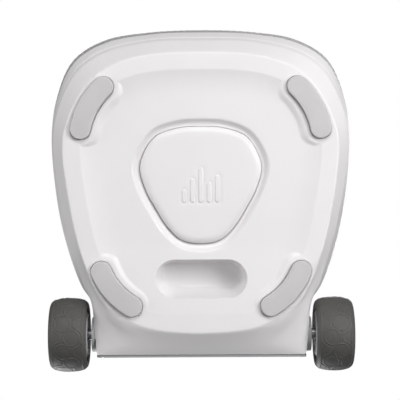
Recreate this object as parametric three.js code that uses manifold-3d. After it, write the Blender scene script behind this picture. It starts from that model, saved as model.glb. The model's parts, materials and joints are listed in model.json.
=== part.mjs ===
// Wheeled party speaker: a tall cabinet on a moulded base with four rubber feet, two transport
// wheels at the rear corners and a telescopic pull handle.
// Millimetres. +Z up, front faces -Y, origin on the floor under the middle of the object's box.

import * as THREE from 'three';
import { mergeVertices } from 'three/addons/utils/BufferGeometryUtils.js';
import Module from 'manifold-3d';

const wasm = await Module();
wasm.setup();

// ---------------------------------------------------------------- driving dimensions

const HEIGHT = 669;              // floor to the top of the stowed grip
const GAP = 0.3;                 // clearance between neighbouring pieces
const CUT = 2;                   // how far a cutting tool runs past the face it opens
const WALL = 6;                  // cabinet wall

const RING_Z = 5;                // underside of the base's flat ring
const FLOOR_Z = 9;               // underside of the sunken floor
const BEVEL_Z = 24;              // where the base bevel meets the cabinet wall
const PAN_TOP = 30;              // joint between base pan and cabinet
const KNEE_Z = 44;               // the wall leans out up to here, and then bends more upright
const KNEE_SHARE = 0.68;         // of the way from the bevel's outline to the full width
const FLARE_Z = 62;              // the wall reaches its full width here
const SHELL_TOP = 600;           // joint between cabinet and top cap
const CAP_TOP = 660;
const BACK_Y = 170;              // flat back of the cabinet
const PLATE = 3;                 // rear panel thickness

const GRILLE_LOW = 46;
const GRILLE_HIGH = 592;
const GRILLE_BACK_Y = -62;       // the grille wraps round the front as far as this
const GRILLE_THICK = 1.6;
const GRILLE_SEAT = 3;

const WHEEL_R = 41;
const WHEEL_Y = 149.5;
const WHEEL_Z = 44;
const WHEEL_OUT = 167;           // outer face of the tyre
const WHEEL_IN = 125.5;          // inner face of the tyre
const AXLE_R = 6;
const BLOCK_R = 19.5;            // round axle block on the cabinet side
const BLOCK_END_Y = 168;         // the block is cut flat at the back

const TUBE_X = 72;               // half the spacing of the handle tubes
const TUBE_Y = 144;
const TUBE_R = 10;
const GRIP_LOW = 641;
const GRIP_TOP = 667;

const WOOFER_Z = [190, 412];
const TWEETER_X = 64;
const TWEETER_Z = 546;
const BAFFLE_Y = -150;           // front face of the baffle
const BAFFLE_THICK = 12;
const BAFFLE_Z = [66, 594];

const FRONT_OPENING = { x: 112, z: [80, 580] };
const REAR_OPENING = { x: 104, z: [45, 588] };
const REAR_PANEL = { x: 115, z: [26, 597] };

const PORT_Z = 225;
const PORT_R = 33;
const PANEL_Z = [330, 402];      // connector opening in the rear panel
const PANEL_X = 57;
const DOOR_Z = [70, 160];        // battery opening in the rear panel
const DOOR_X = 54;
const INLET_Z = 296;

// ---------------------------------------------------------------- outlines seen from above
// Each list is the right-hand half, from the front centre to the rear centre.

const WALL_SIDE = [
  [0, -190.5], [59, -188], [108.6, -179], [143.4, -156.5], [162.2, -111.6], [167, -66.7],
  [157.7, 23.2], [134.5, 97], [122.5, 113.5], [118, 140], [115, 167],
];
const BEVEL_SIDE = [
  [0, -174], [55.8, -172.4], [110.5, -158.1], [137.9, -136.2], [155.4, -101.2], [162, -65],
  [150, 22.6], [129.5, 92], [120.5, 113], [117.5, 140], [115, 167],
];
const REAR_CORNER = [113, BACK_Y];
const RING_HALF = [
  [0, -159.4], [70.2, -154], [109.1, -137.7], [130.8, -113.9], [147, -76.5], [149.3, -53.4],
  [143.8, -4], [131.5, 53.3], [111.4, 102.7], [96.1, 119.7], [60.5, 138.5], [0, 145],
];
const RECESS_HALF = [
  [0, -141], [42.4, -139.5], [74.9, -134.5], [86, -127], [88, -117], [94, -106], [103, -95],
  [113, -70], [119.5, -62], [129.5, -52.5], [131, -44], [123.5, 4], [114, 51], [95, 57],
  [62.5, 97], [55, 113], [43, 121.5], [0, 124],
];
const COVER_HALF = [
  [0, -79.2], [24.6, -77.6], [48.9, -68.5], [62.5, -49], [66, -33], [59.8, -10.2],
  [50.1, 8.1], [35, 31.5], [19.9, 44.5], [0, 48],
];

const POLE = [0, -10];           // every full outline is seen whole from here
const RAYS = 40;
const FINE = 24;                 // facets of a large round
const ROUND = 16;                // facets of a small one

// ---------------------------------------------------------------- materials

const shellWhite = new THREE.MeshStandardMaterial({ color: 0xeeedef, roughness: 0.42, metalness: 0 });
const trimGrey = new THREE.MeshStandardMaterial({ color: 0xb9babc, roughness: 0.5, metalness: 0 });
const footRubber = new THREE.MeshStandardMaterial({ color: 0xbdbdbe, roughness: 0.75, metalness: 0 });
const tyreRubber = new THREE.MeshStandardMaterial({ color: 0x4a4947, roughness: 0.8, metalness: 0 });
const hubPlastic = new THREE.MeshStandardMaterial({ color: 0x8f9194, roughness: 0.55, metalness: 0 });
const steel = new THREE.MeshStandardMaterial({ color: 0xb4b6b8, roughness: 0.3, metalness: 1 });
const aluminium = new THREE.MeshStandardMaterial({ color: 0xc9cbcd, roughness: 0.35, metalness: 1 });
const grilleMetal = new THREE.MeshStandardMaterial({ color: 0x9a9b9d, roughness: 0.45, metalness: 0.6 });
const darkPlastic = new THREE.MeshStandardMaterial({ color: 0x2b2c2e, roughness: 0.45, metalness: 0 });
const blackRubber = new THREE.MeshStandardMaterial({ color: 0x1d1d1e, roughness: 0.8, metalness: 0 });
const coneFibre = new THREE.MeshStandardMaterial({ color: 0x303133, roughness: 0.7, metalness: 0 });
const ferrite = new THREE.MeshStandardMaterial({ color: 0x3a3b3e, roughness: 0.6, metalness: 0.4 });
const diffuser = new THREE.MeshStandardMaterial({ color: 0xe6e7ea, roughness: 0.35, metalness: 0 });
const boardGreen = new THREE.MeshStandardMaterial({ color: 0x2f5d3f, roughness: 0.6, metalness: 0 });

// ---------------------------------------------------------------- geometry helpers

const model = new THREE.Group();

function add(name, geometry, material, x = 0, y = 0, z = 0) {
  const mesh = new THREE.Mesh(geometry, material);
  mesh.name = name;
  mesh.position.set(x, y, z);
  model.add(mesh);
  return mesh;
}

// Position-only copy with shared vertices, no empty triangles and its faces pointing out.
function closed(geometry) {
  const bare = geometry.clone();
  const extras = Object.keys(bare.attributes).filter((key) => key !== 'position');
  extras.forEach((key) => bare.deleteAttribute(key));
  const merged = mergeVertices(bare, 1e-4);
  const index = merged.index.array;
  const position = merged.attributes.position;
  const corner = [new THREE.Vector3(), new THREE.Vector3(), new THREE.Vector3()];
  const kept = [];
  let volume = 0;
  for (let i = 0; i < index.length; i += 3) {
    const [a, b, c] = index.slice(i, i + 3);
    if (a === b || b === c || c === a) continue;
    kept.push([a, b, c]);
    corner.forEach((point, k) => point.fromBufferAttribute(position, [a, b, c][k]));
    volume += corner[0].dot(corner[1].clone().cross(corner[2]));
  }
  merged.setIndex(kept.flatMap(([a, b, c]) => (volume < 0 ? [a, c, b] : [a, b, c])));
  return merged;
}

function toSolid(geometry) {
  const mesh = closed(geometry);
  const vertProperties = new Float32Array(mesh.attributes.position.array);
  const triVerts = new Uint32Array(mesh.index.array);
  return new wasm.Manifold(new wasm.Mesh({ numProp: 3, vertProperties, triVerts }));
}

function toGeometry(solid) {
  const mesh = solid.getMesh();
  const geometry = new THREE.BufferGeometry();
  geometry.setAttribute('position', new THREE.BufferAttribute(mesh.vertProperties, 3));
  geometry.setIndex(new THREE.BufferAttribute(mesh.triVerts, 1));
  return geometry;
}

function join(...pieces) {
  return toGeometry(pieces.map(toSolid).reduce((sum, piece) => sum.add(piece)));
}

function cut(base, ...tools) {
  return toGeometry(tools.map(toSolid).reduce((left, tool) => left.subtract(tool), toSolid(base)));
}

function common(a, b) {
  return toGeometry(toSolid(a).intersect(toSolid(b)));
}

function box(xRange, yRange, zRange) {
  const spans = [xRange, yRange, zRange];
  const [width, depth, height] = spans.map(([low, high]) => high - low);
  const middle = spans.map(([low, high]) => (low + high) / 2);
  return new THREE.BoxGeometry(width, depth, height).translate(...middle);
}

const symmetric = (half) => [-half, half];

const TURN_TO = {
  x: (geometry) => geometry.rotateZ(-Math.PI / 2),
  y: (geometry) => geometry,
  z: (geometry) => geometry.rotateX(Math.PI / 2),
};

// Turned solid: [radius, place along the axis] pairs, closed along the axis or onto itself.
function turned(axis, profile, segments = ROUND) {
  const points = profile.map(([radius, along]) => new THREE.Vector2(radius, along));
  return closed(TURN_TO[axis](new THREE.LatheGeometry(points, segments)));
}

function rod(axis, radius, low, high, segments = ROUND) {
  return turned(axis, [[0, low], [radius, low], [radius, high], [0, high]], segments);
}

function ring(axis, inner, outer, low, high, segments = ROUND) {
  return turned(axis, [[inner, low], [outer, low], [outer, high], [inner, high], [inner, low]], segments);
}

// Flat shape in X and Y, raised from low to high.
function slab(shape, low, high) {
  const settings = { depth: high - low, bevelEnabled: false, curveSegments: 8 };
  return new THREE.ExtrudeGeometry(shape, settings).translate(0, 0, low);
}

// Shape drawn in X and Z, standing between two Y planes.
function upright(shape, front, back) {
  const settings = { depth: back - front, bevelEnabled: false, curveSegments: 4 };
  return new THREE.ExtrudeGeometry(shape, settings).rotateX(Math.PI / 2).translate(0, back, 0);
}

function roundedRect(halfX, low, high, radius) {
  const shape = new THREE.Shape();
  shape.moveTo(-halfX + radius, low);
  shape.lineTo(halfX - radius, low);
  shape.absarc(halfX - radius, low + radius, radius, -Math.PI / 2, 0);
  shape.absarc(halfX - radius, high - radius, radius, 0, Math.PI / 2);
  shape.absarc(-halfX + radius, high - radius, radius, Math.PI / 2, Math.PI);
  shape.absarc(-halfX + radius, low + radius, radius, Math.PI, 1.5 * Math.PI);
  return shape;
}

const flat = ([x, y]) => new THREE.Vector3(x, y, 0);
const mirrored = (half) => half.filter(([x]) => x > 0).map(([x, y]) => [-x, y]).reverse();

// Closed smooth outline, counter-clockwise, from its right-hand half.
function smoothOutline(half, count = 72) {
  const curve = new THREE.CatmullRomCurve3([...half, ...mirrored(half)].map(flat), true, 'centripetal');
  return curve.getSpacedPoints(count).slice(0, count).map((point) => new THREE.Vector2(point.x, point.y));
}

// Outline with a smooth front and sides, and a straight back between two small corners.
function flatBackedOutline(side) {
  const curve = new THREE.CatmullRomCurve3([...mirrored(side), ...side].map(flat), false, 'centripetal');
  const points = curve.getPoints(240).map((point) => new THREE.Vector2(point.x, point.y));
  const [cornerX, cornerY] = REAR_CORNER;
  return [...points, new THREE.Vector2(cornerX, cornerY), new THREE.Vector2(-cornerX, cornerY)];
}

function rayAngles() {
  const [poleX, poleY] = POLE;
  const corners = [WALL_SIDE.at(-1), REAR_CORNER].flatMap(([x, y]) => {
    const angle = Math.atan2(y - poleY, x - poleX);
    return [angle, Math.PI - angle];
  });
  const even = Array.from({ length: RAYS }, (_, i) => -Math.PI / 2 + (2 * Math.PI * i) / RAYS);
  const wrap = (angle) => (angle < -Math.PI / 2 ? angle + 2 * Math.PI : angle);
  return [...even, ...corners].map(wrap).sort((a, b) => a - b);
}

// The outline's nearest points along fixed rays from the pole, so that outlines blend and stack.
function alongRays(outline) {
  const pole = new THREE.Vector2(...POLE);
  return rayAngles().map((angle) => {
    const ray = new THREE.Vector2(Math.cos(angle), Math.sin(angle));
    let nearest = Infinity;
    for (let i = 0; i < outline.length; i += 1) {
      const start = outline[i].clone().sub(pole);
      const edge = outline[(i + 1) % outline.length].clone().sub(outline[i]);
      const slant = ray.cross(edge);
      const along = start.cross(edge) / slant;
      const share = start.cross(ray) / slant;
      if (along > 0 && share > -1e-9 && share < 1 + 1e-9) nearest = Math.min(nearest, along);
    }
    return ray.clone().multiplyScalar(nearest).add(pole);
  });
}

const blend = (from, to, share) => from.map((point, i) => point.clone().lerp(to[i], share));

// Moves each point of a counter-clockwise outline outwards, square to its neighbours.
function grown(outline, distance) {
  const count = outline.length;
  return outline.map((point, i) => {
    const chord = outline[(i + 1) % count].clone().sub(outline[(i + count - 1) % count]).normalize();
    return new THREE.Vector2(point.x + chord.y * distance, point.y - chord.x * distance);
  });
}

// A full outline moved inwards: the rays drop the loops that it makes inside sharp corners.
const inset = (outline, distance) => alongRays(grown(outline, -distance));

// Closed solid through stacked outlines of one point count, lowest first: [outline, z] pairs.
function loft(levels) {
  const count = levels[0][0].length;
  const positions = levels.flatMap(([outline, z]) => outline.flatMap((point) => [point.x, point.y, z]));
  const faces = [];
  for (let level = 0; level < levels.length - 1; level += 1) {
    for (let i = 0; i < count; i += 1) {
      const [a, b] = [level * count + i, level * count + ((i + 1) % count)];
      faces.push(a, b, b + count, a, b + count, a + count);
    }
  }
  const topStart = (levels.length - 1) * count;
  THREE.ShapeUtils.triangulateShape(levels[0][0], []).forEach(([a, b, c]) => faces.push(a, c, b));
  THREE.ShapeUtils.triangulateShape(levels.at(-1)[0], []).forEach(([a, b, c]) => {
    faces.push(a + topStart, b + topStart, c + topStart);
  });
  const geometry = new THREE.BufferGeometry();
  geometry.setAttribute('position', new THREE.Float32BufferAttribute(positions, 3));
  geometry.setIndex(faces);
  return geometry;
}

const wallOutline = alongRays(flatBackedOutline(WALL_SIDE));
const bevelOutline = alongRays(flatBackedOutline(BEVEL_SIDE));
const ringOutline = alongRays(smoothOutline(RING_HALF, 180));

// The cabinet's outline at a height.
function wallAt(z) {
  const leaning = (KNEE_SHARE * (z - BEVEL_Z)) / (KNEE_Z - BEVEL_Z);
  const steeper = KNEE_SHARE + ((1 - KNEE_SHARE) * (z - KNEE_Z)) / (FLARE_Z - KNEE_Z);
  return blend(bevelOutline, wallOutline, Math.min(leaning, steeper, 1));
}

// ---------------------------------------------------------------- feet

// Banana-shaped feet: [end, end, how far the middle bows outwards] on the left-hand side.
const FOOT_R = 11.3;
const FOOT_TOP = 9;
const FEET = {
  front: [[-105, -121.8], [-130, -76.6], 4],
  rear: [[-108.1, 77.7], [-75.1, 115.4], 4],
};

function footShape([start, end, bow], side, radius) {
  const first = new THREE.Vector2(start[0] * side, start[1]);
  const last = new THREE.Vector2(end[0] * side, end[1]);
  const middle = first.clone().add(last).multiplyScalar(0.5);
  const outwards = middle.clone().sub(new THREE.Vector2(...POLE)).normalize();
  const chord = last.clone().sub(first).normalize();
  const square = outwards.sub(chord.clone().multiplyScalar(outwards.dot(chord))).normalize();
  const spine = new THREE.QuadraticBezierCurve(first, middle.add(square.multiplyScalar(2 * bow)), last);
  const stations = [0, 0.2, 0.4, 0.6, 0.8, 1];
  const beside = (share, distance) => {
    const tangent = spine.getTangent(share);
    return spine.getPoint(share).add(new THREE.Vector2(-tangent.y, tangent.x).multiplyScalar(distance));
  };
  const roundEnd = (share) => {
    const tangent = spine.getTangent(share).multiplyScalar(share === 1 ? 1 : -1);
    const begin = tangent.angle() - Math.PI / 2;
    return [1, 2, 3, 4].map((step) => {
      const angle = begin + (Math.PI * step) / 5;
      const spoke = new THREE.Vector2(Math.cos(angle), Math.sin(angle)).multiplyScalar(radius);
      return spine.getPoint(share).add(spoke);
    });
  };
  const oneSide = stations.map((share) => beside(share, -radius));
  const otherSide = stations.map((share) => beside(share, radius)).reverse();
  return new THREE.Shape([...oneSide, ...roundEnd(1), ...otherSide, ...roundEnd(0)]);
}

function foot(spec, side) {
  const tread = slab(footShape(spec, side, FOOT_R - 1.2), 0, 1.5);
  const body = slab(footShape(spec, side, FOOT_R), 1.2, FOOT_TOP);
  return join(tread, body);
}

for (const [place, spec] of Object.entries(FEET)) {
  add(`foot_${place}_left`, foot(spec, 1), footRubber);
  add(`foot_${place}_right`, foot(spec, -1), footRubber);
}

// ---------------------------------------------------------------- base pan and its centre cover

const GRIP_HALF_X = 49.5;        // finger pocket, wholly round ended
const GRIP_Y = [65.6, 106.9];
const GRIP_DEPTH = 40;           // height of the pocket's roof above the floor
const PAN_FLOOR = 13;            // top of the pan's thin floor
const DISH_Z = 15;               // seat of the centre cover
const COLLAR_TOP = 22;

const coverOutline = smoothOutline(COVER_HALF, 32);
const recessOutline = smoothOutline(RECESS_HALF, 48);
const aroundCover = (distance) => grown(coverOutline, distance);

function pocket(halfX, [front, back], low, high, grow) {
  const radius = (back - front) / 2 + grow;
  const middle = (front + back) / 2;
  const shape = new THREE.Shape();
  shape.absarc(halfX - radius + grow, middle, radius, -Math.PI / 2, Math.PI / 2);
  shape.absarc(-halfX + radius - grow, middle, radius, Math.PI / 2, 1.5 * Math.PI);
  return slab(shape, low, high);
}

// Keeps what lies in front of a plane across the axle block.
function inFrontOf(geometry, backY) {
  return common(geometry, box(symmetric(200), [0, backY], [0, 100]));
}

// Holes for the two round axle blocks, shared by pan and cabinet.
function axleHoles() {
  return [[-145, -85], [85, 145]].map(([low, high]) => {
    const hole = rod('x', BLOCK_R + GAP, low, high, FINE).translate(0, WHEEL_Y, WHEEL_Z);
    return inFrontOf(hole, BLOCK_END_Y + GAP);
  });
}

function basePan() {
  const joint = wallAt(PAN_TOP);
  const outer = loft([[ringOutline, RING_Z], [bevelOutline, BEVEL_Z], [joint, PAN_TOP]]);
  const low = inset(blend(ringOutline, bevelOutline, (PAN_FLOOR - RING_Z) / (BEVEL_Z - RING_Z)), WALL);
  const hollow = loft([[low, PAN_FLOOR], [inset(joint, WALL), PAN_TOP + CUT]]);
  const recess = loft([[grown(recessOutline, 4), RING_Z - CUT], [grown(recessOutline, -2), FLOOR_Z]]);
  const collar = loft([[aroundCover(13), FLOOR_Z + 1], [aroundCover(13), COLLAR_TOP]]);
  const dish = loft([
    [aroundCover(9), FLOOR_Z - CUT],
    [aroundCover(9), FLOOR_Z],
    [aroundCover(1), DISH_Z],
  ]);
  const coverHole = loft([[aroundCover(0.7), FLOOR_Z - CUT], [aroundCover(0.7), COLLAR_TOP + CUT]]);
  const pocketWall = pocket(GRIP_HALF_X, GRIP_Y, FLOOR_Z, GRIP_DEPTH + 3, 3);
  const pocketSpace = pocket(GRIP_HALF_X, GRIP_Y, FLOOR_Z - CUT, GRIP_DEPTH, 0);
  const footSeats = Object.values(FEET).flatMap((spec) => [1, -1].map((side) => (
    slab(footShape(spec, side, FOOT_R + 0.5), RING_Z - CUT, FOOT_TOP + GAP)
  )));
  const footBosses = Object.values(FEET).flatMap((spec) => [1, -1].map((side) => (
    slab(footShape(spec, side, FOOT_R + 4), FLOOR_Z + 1, PAN_FLOOR + 1)
  )));
  const shell = cut(join(cut(outer, hollow), collar, pocketWall), recess);
  const withSeats = cut(join(shell, ...footBosses), ...footSeats);
  return cut(join(withSeats, cut(collar, dish)), dish, coverHole, pocketSpace, ...axleHoles());
}

function baseCover() {
  return loft([
    [aroundCover(-9), 8.5],
    [aroundCover(-4), 9.8],
    [aroundCover(-1.2), 12.5],
    [coverOutline, 15.5],
    [coverOutline, COLLAR_TOP + CUT],
  ]);
}

add('base_pan', basePan(), shellWhite);
add('base_cover', baseCover(), shellWhite);

// ---------------------------------------------------------------- cabinet

// Sheet that follows the front of the wall, between two depths under its surface.
function frontBand(outerInset, innerInset, low, high) {
  const layer = (depth, heights) => loft(heights.map((z) => [inset(wallAt(z), depth), z]));
  const outside = layer(outerInset, [low, FLARE_Z, high]);
  const inside = layer(innerInset, [low - CUT, FLARE_Z, high + CUT]);
  return common(cut(outside, inside), box(symmetric(200), [-200, GRILLE_BACK_Y], [low, high]));
}

function cabinetShell() {
  const outer = loft([PAN_TOP + GAP, KNEE_Z, FLARE_Z, SHELL_TOP].map((z) => [wallAt(z), z]));
  const inside = loft([
    [inset(wallAt(PAN_TOP), WALL), PAN_TOP - CUT],
    [inset(wallOutline, WALL), FLARE_Z],
    [inset(wallOutline, WALL), SHELL_TOP + CUT],
  ]);
  const grilleSeat = frontBand(-CUT, GRILLE_SEAT, GRILLE_LOW - GAP, GRILLE_HIGH + GAP);
  const frontOpening = box(symmetric(FRONT_OPENING.x), [-220, -120], FRONT_OPENING.z);
  const rearOpening = box(symmetric(REAR_OPENING.x), [150, 190], REAR_OPENING.z);
  return cut(outer, inside, grilleSeat, frontOpening, rearOpening, ...axleHoles());
}

function frontBaffle() {
  const body = loft(BAFFLE_Z.map((z) => [inset(wallOutline, WALL + GAP), z]));
  const layer = box(symmetric(200), [BAFFLE_Y, BAFFLE_Y + BAFFLE_THICK], BAFFLE_Z);
  const wooferHoles = WOOFER_Z.map((z) => rod('y', 73, -20, 20, FINE).translate(0, BAFFLE_Y, z));
  const tweeterHoles = [-1, 1].map((side) => (
    rod('y', 23, -20, 20).translate(side * TWEETER_X, BAFFLE_Y, TWEETER_Z)
  ));
  return cut(common(body, layer), ...wooferHoles, ...tweeterHoles);
}

function rearPanel() {
  const outline = roundedRect(REAR_PANEL.x, ...REAR_PANEL.z, 3);
  const plate = upright(outline, BACK_Y + GAP, BACK_Y + GAP + PLATE);
  const opening = (half, [low, high]) => box(symmetric(half), [160, 190], [low, high]);
  return cut(
    plate,
    opening(DOOR_X, DOOR_Z),
    opening(PANEL_X, PANEL_Z),
    opening(17, [INLET_Z - 12, INLET_Z + 12]),
    rod('y', PORT_R + 4, -10, 10).translate(0, BACK_Y, PORT_Z),
  );
}

add('cabinet_shell', cabinetShell(), shellWhite);
add('front_baffle', frontBaffle(), darkPlastic);
add('front_grille', frontBand(0, GRILLE_THICK, GRILLE_LOW, GRILLE_HIGH), grilleMetal);
add('rear_panel', rearPanel(), trimGrey);

// ---------------------------------------------------------------- top cap and control deck

const TUB_X = 92;                // space round the stowed grip
const TUB_Y = [106, 160];
const TUB_FLOOR = 606;
const TUB_WALL = 3;
const DECK_X = 106;
const DECK_Y = [-128, -46];
const DECK_FLOOR = 656;
const BUTTON_R = 11;
const BUTTON_Y = -88;
const BUTTONS = ['power', 'pairing', 'volume_down', 'play', 'volume_up'];
const BUTTON_PITCH = 39;
const BUTTON_TRAVEL = 1.2;
const BOARD_TOP = 641;

const buttonX = (i) => (i - (BUTTONS.length - 1) / 2) * BUTTON_PITCH;

const buttonHoles = () => BUTTONS.map((_, i) => (
  rod('z', BUTTON_R + GAP, BOARD_TOP, CAP_TOP + 10).translate(buttonX(i), BUTTON_Y, 0)
));

function deckShape(grow) {
  return roundedRect(DECK_X + grow, DECK_Y[0] - grow, DECK_Y[1] + grow, 16);
}

function topCap() {
  const outer = loft([
    [wallOutline, SHELL_TOP + GAP],
    [wallOutline, 632],
    [inset(wallOutline, 3), 645],
    [inset(wallOutline, 9), 654],
    [inset(wallOutline, 20), CAP_TOP],
  ]);
  const inside = loft([
    [inset(wallOutline, WALL), SHELL_TOP - CUT],
    [inset(wallOutline, WALL), 630],
    [inset(wallOutline, 26), 651],
  ]);
  const [front, back] = TUB_Y;
  const tubDepth = [front - TUB_WALL, back + TUB_WALL];
  const tub = box(symmetric(TUB_X + TUB_WALL), tubDepth, [TUB_FLOOR - 4, 655]);
  const tubSpace = box(symmetric(TUB_X), TUB_Y, [TUB_FLOOR, CAP_TOP + CUT]);
  const tubeHoles = [-1, 1].map((side) => (
    rod('z', TUBE_R + GAP, TUB_FLOOR - 10, TUB_FLOOR + 10).translate(side * TUBE_X, TUBE_Y, 0)
  ));
  const deckSeat = slab(deckShape(GAP), DECK_FLOOR, CAP_TOP + CUT);
  const body = join(cut(outer, inside), common(tub, outer));
  return cut(body, tubSpace, deckSeat, ...tubeHoles, ...buttonHoles());
}

function controlDeck() {
  return cut(slab(deckShape(0), DECK_FLOOR + GAP, CAP_TOP + GAP), ...buttonHoles());
}

function pushButton() {
  const underside = BOARD_TOP + GAP + BUTTON_TRAVEL;
  const top = CAP_TOP + 2;
  return turned('z', [
    [0, underside], [4, underside], [4, 650], [BUTTON_R, 650],
    [BUTTON_R, top - 1], [BUTTON_R - 1, top], [0, top],
  ]);
}

add('top_cap', topCap(), shellWhite);
add('control_deck', controlDeck(), darkPlastic);
BUTTONS.forEach((use, i) => add(`${use}_button`, pushButton(), trimGrey, buttonX(i), BUTTON_Y, 0));
add('deck_board', box(symmetric(98), [-110, -66], [BOARD_TOP - 2, BOARD_TOP]), boardGreen);

// ---------------------------------------------------------------- wheels

const BLOCK_IN = 100;
const BLOCK_OUT = 121;
const SLOT_X = [115.3, 117.7];   // drain slot low in the left-hand block

function axleBlock(side) {
  const round = ring('x', AXLE_R + GAP, BLOCK_R, BLOCK_IN, BLOCK_OUT, FINE);
  const block = inFrontOf(round.translate(0, WHEEL_Y, WHEEL_Z), BLOCK_END_Y);
  const slot = box(SLOT_X, [WHEEL_Y + 3, WHEEL_Y + 14], [20, 32]);
  return closed((side < 0 ? cut(block, slot) : block).scale(side, 1, 1));
}

function tyre(side) {
  const middle = (WHEEL_IN + WHEEL_OUT) / 2;
  const edge = WHEEL_OUT - middle;
  const half = [
    [WHEEL_R - 0.4, 7], [WHEEL_R - 2, 15], [WHEEL_R - 4.5, edge - 1], [33.5, edge], [31, edge - 2],
  ];
  const outer = half.map(([radius, away]) => [radius, middle + away]);
  const inner = half.map(([radius, away]) => [radius, middle - away]).reverse();
  const profile = [...inner, [WHEEL_R, middle], ...outer, inner[0]];
  return closed(turned('x', profile, FINE + 4).scale(side, 1, 1));
}

function hub(side) {
  const profile = [
    [9, WHEEL_IN + 1], [22, WHEEL_IN - 0.5], [25, WHEEL_IN + 2], [30.7, WHEEL_IN + 3.3],
    [30.7, WHEEL_OUT - 3.3], [27, WHEEL_OUT - 3.3], [24, WHEEL_OUT - 16], [14, WHEEL_OUT - 16],
    [14, WHEEL_OUT - 12], [9, WHEEL_OUT - 12], [9, WHEEL_IN + 1],
  ];
  return closed(turned('x', profile, FINE).scale(side, 1, 1));
}

function bush(side) {
  return closed(ring('x', AXLE_R + GAP, 9 - GAP, WHEEL_IN + 1, WHEEL_OUT - 12).scale(side, 1, 1));
}

function hubCap(side) {
  const profile = [
    [0, WHEEL_OUT - 5], [22, WHEEL_OUT - 5], [23.5, WHEEL_OUT - 10], [25.1, WHEEL_OUT - 10],
    [26.4, WHEEL_OUT - 4], [24, WHEEL_OUT - 1.5], [0, WHEEL_OUT - 0.5],
  ];
  return closed(turned('x', profile, FINE).scale(side, 1, 1));
}

const AXLE_END = WHEEL_OUT - 7;
add('wheel_axle', rod('x', AXLE_R, -AXLE_END, AXLE_END), steel, 0, WHEEL_Y, WHEEL_Z);
for (const [place, side] of [['left', -1], ['right', 1]]) {
  add(`axle_block_${place}`, axleBlock(side), trimGrey);
  add(`wheel_tyre_${place}`, tyre(side), tyreRubber, 0, WHEEL_Y, WHEEL_Z);
  add(`wheel_hub_${place}`, hub(side), hubPlastic, 0, WHEEL_Y, WHEEL_Z);
  add(`wheel_bush_${place}`, bush(side), darkPlastic, 0, WHEEL_Y, WHEEL_Z);
  add(`hub_cap_${place}`, hubCap(side), hubPlastic, 0, WHEEL_Y, WHEEL_Z);
}

// ---------------------------------------------------------------- telescopic handle

const GUIDE_LOW = 175;
const TUBE_LOW = 180;
const TUBE_TOP = 658;
const RELEASE_X = 24;
const RELEASE_Y = 7;

function grip() {
  const depth = 13;
  const shape = new THREE.Shape();
  shape.absarc(-TUBE_X - 2, TUBE_Y, depth, Math.PI / 2, 1.5 * Math.PI);
  shape.absarc(TUBE_X + 2, TUBE_Y, depth, -Math.PI / 2, Math.PI / 2);
  const edge = 3;
  const body = new THREE.ExtrudeGeometry(shape, {
    depth: GRIP_TOP - GRIP_LOW - 2 * edge,
    bevelThickness: edge,
    bevelSize: edge,
    bevelOffset: -edge,
    bevelSegments: 2,
    curveSegments: 6,
  }).translate(0, 0, GRIP_LOW + edge);
  const sockets = [-1, 1].map((side) => (
    rod('z', TUBE_R + GAP, GRIP_LOW - CUT, TUBE_TOP + GAP).translate(side * TUBE_X, TUBE_Y, 0)
  ));
  const reach = RELEASE_Y + GAP;
  const seat = box(symmetric(RELEASE_X + GAP), [TUBE_Y - reach, TUBE_Y + reach], [656, GRIP_TOP + CUT]);
  return cut(body, ...sockets, seat);
}

function releaseButton() {
  const shape = roundedRect(RELEASE_X, -RELEASE_Y, RELEASE_Y, 5);
  return slab(shape, 660.5, HEIGHT);
}

add('handle_grip', grip(), darkPlastic);
add('release_button', releaseButton(), trimGrey, 0, TUBE_Y, 0);
for (const [place, side] of [['left', -1], ['right', 1]]) {
  const guide = ring('z', TUBE_R + GAP, TUBE_R + 2.2, GUIDE_LOW, TUB_FLOOR - 5);
  const tube = ring('z', TUBE_R - 1.5, TUBE_R, TUBE_LOW, TUBE_TOP);
  add(`handle_guide_${place}`, guide, darkPlastic, side * TUBE_X, TUBE_Y, 0);
  add(`handle_tube_${place}`, tube, aluminium, side * TUBE_X, TUBE_Y, 0);
}

// ---------------------------------------------------------------- loudspeakers
// Profiles run along Y from the baffle's front face, so -Y is out of the cabinet.

function wooferFrame() {
  const profile = [
    [72.5, -GAP], [84, -GAP], [84, -4], [74.5, -4], [74.5, -1.5], [70, -1.5], [66, 6],
    [43, 49], [26, 51], [26, 54.7], [46, 54.7], [46, 50], [69, 4], [72.5, -GAP],
  ];
  return turned('y', profile, FINE);
}

function wooferSurround() {
  const profile = [
    [74, -2], [70, -2], [65, -8], [60, -2], [57, -2], [57, -3.4], [59, -3.6], [65, -9.8], [71, -3.6],
    [74, -3.4], [74, -2],
  ];
  return turned('y', profile, FINE);
}

function wooferCone() {
  const profile = [
    [0, 20.5], [21, 28], [56.7, -3.6], [56.7, -1.6], [20, 33], [20, 60], [18.6, 60], [18.6, 31],
    [0, 22.5],
  ];
  return turned('y', profile, FINE);
}

function wooferMagnet() {
  const profile = [[0, 56], [17, 56], [17, 82], [21.6, 82], [21.6, 55], [52, 55], [52, 90], [0, 90]];
  return turned('y', profile);
}

['lower', 'upper'].forEach((place, i) => {
  add(`woofer_frame_${place}`, wooferFrame(), ferrite, 0, BAFFLE_Y, WOOFER_Z[i]);
  add(`woofer_surround_${place}`, wooferSurround(), blackRubber, 0, BAFFLE_Y, WOOFER_Z[i]);
  add(`woofer_cone_${place}`, wooferCone(), coneFibre, 0, BAFFLE_Y, WOOFER_Z[i]);
  add(`woofer_magnet_${place}`, wooferMagnet(), ferrite, 0, BAFFLE_Y, WOOFER_Z[i]);
  add(`light_ring_${place}`, ring('y', 86, 95, -7, -GAP, FINE), diffuser, 0, BAFFLE_Y, WOOFER_Z[i]);
});

function tweeter() {
  return turned('y', [
    [0, -5], [8, -4], [13, 0], [26, -4], [34, -4], [34, -GAP], [22.5, -GAP], [22.5, 16], [0, 16],
  ]);
}

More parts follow.
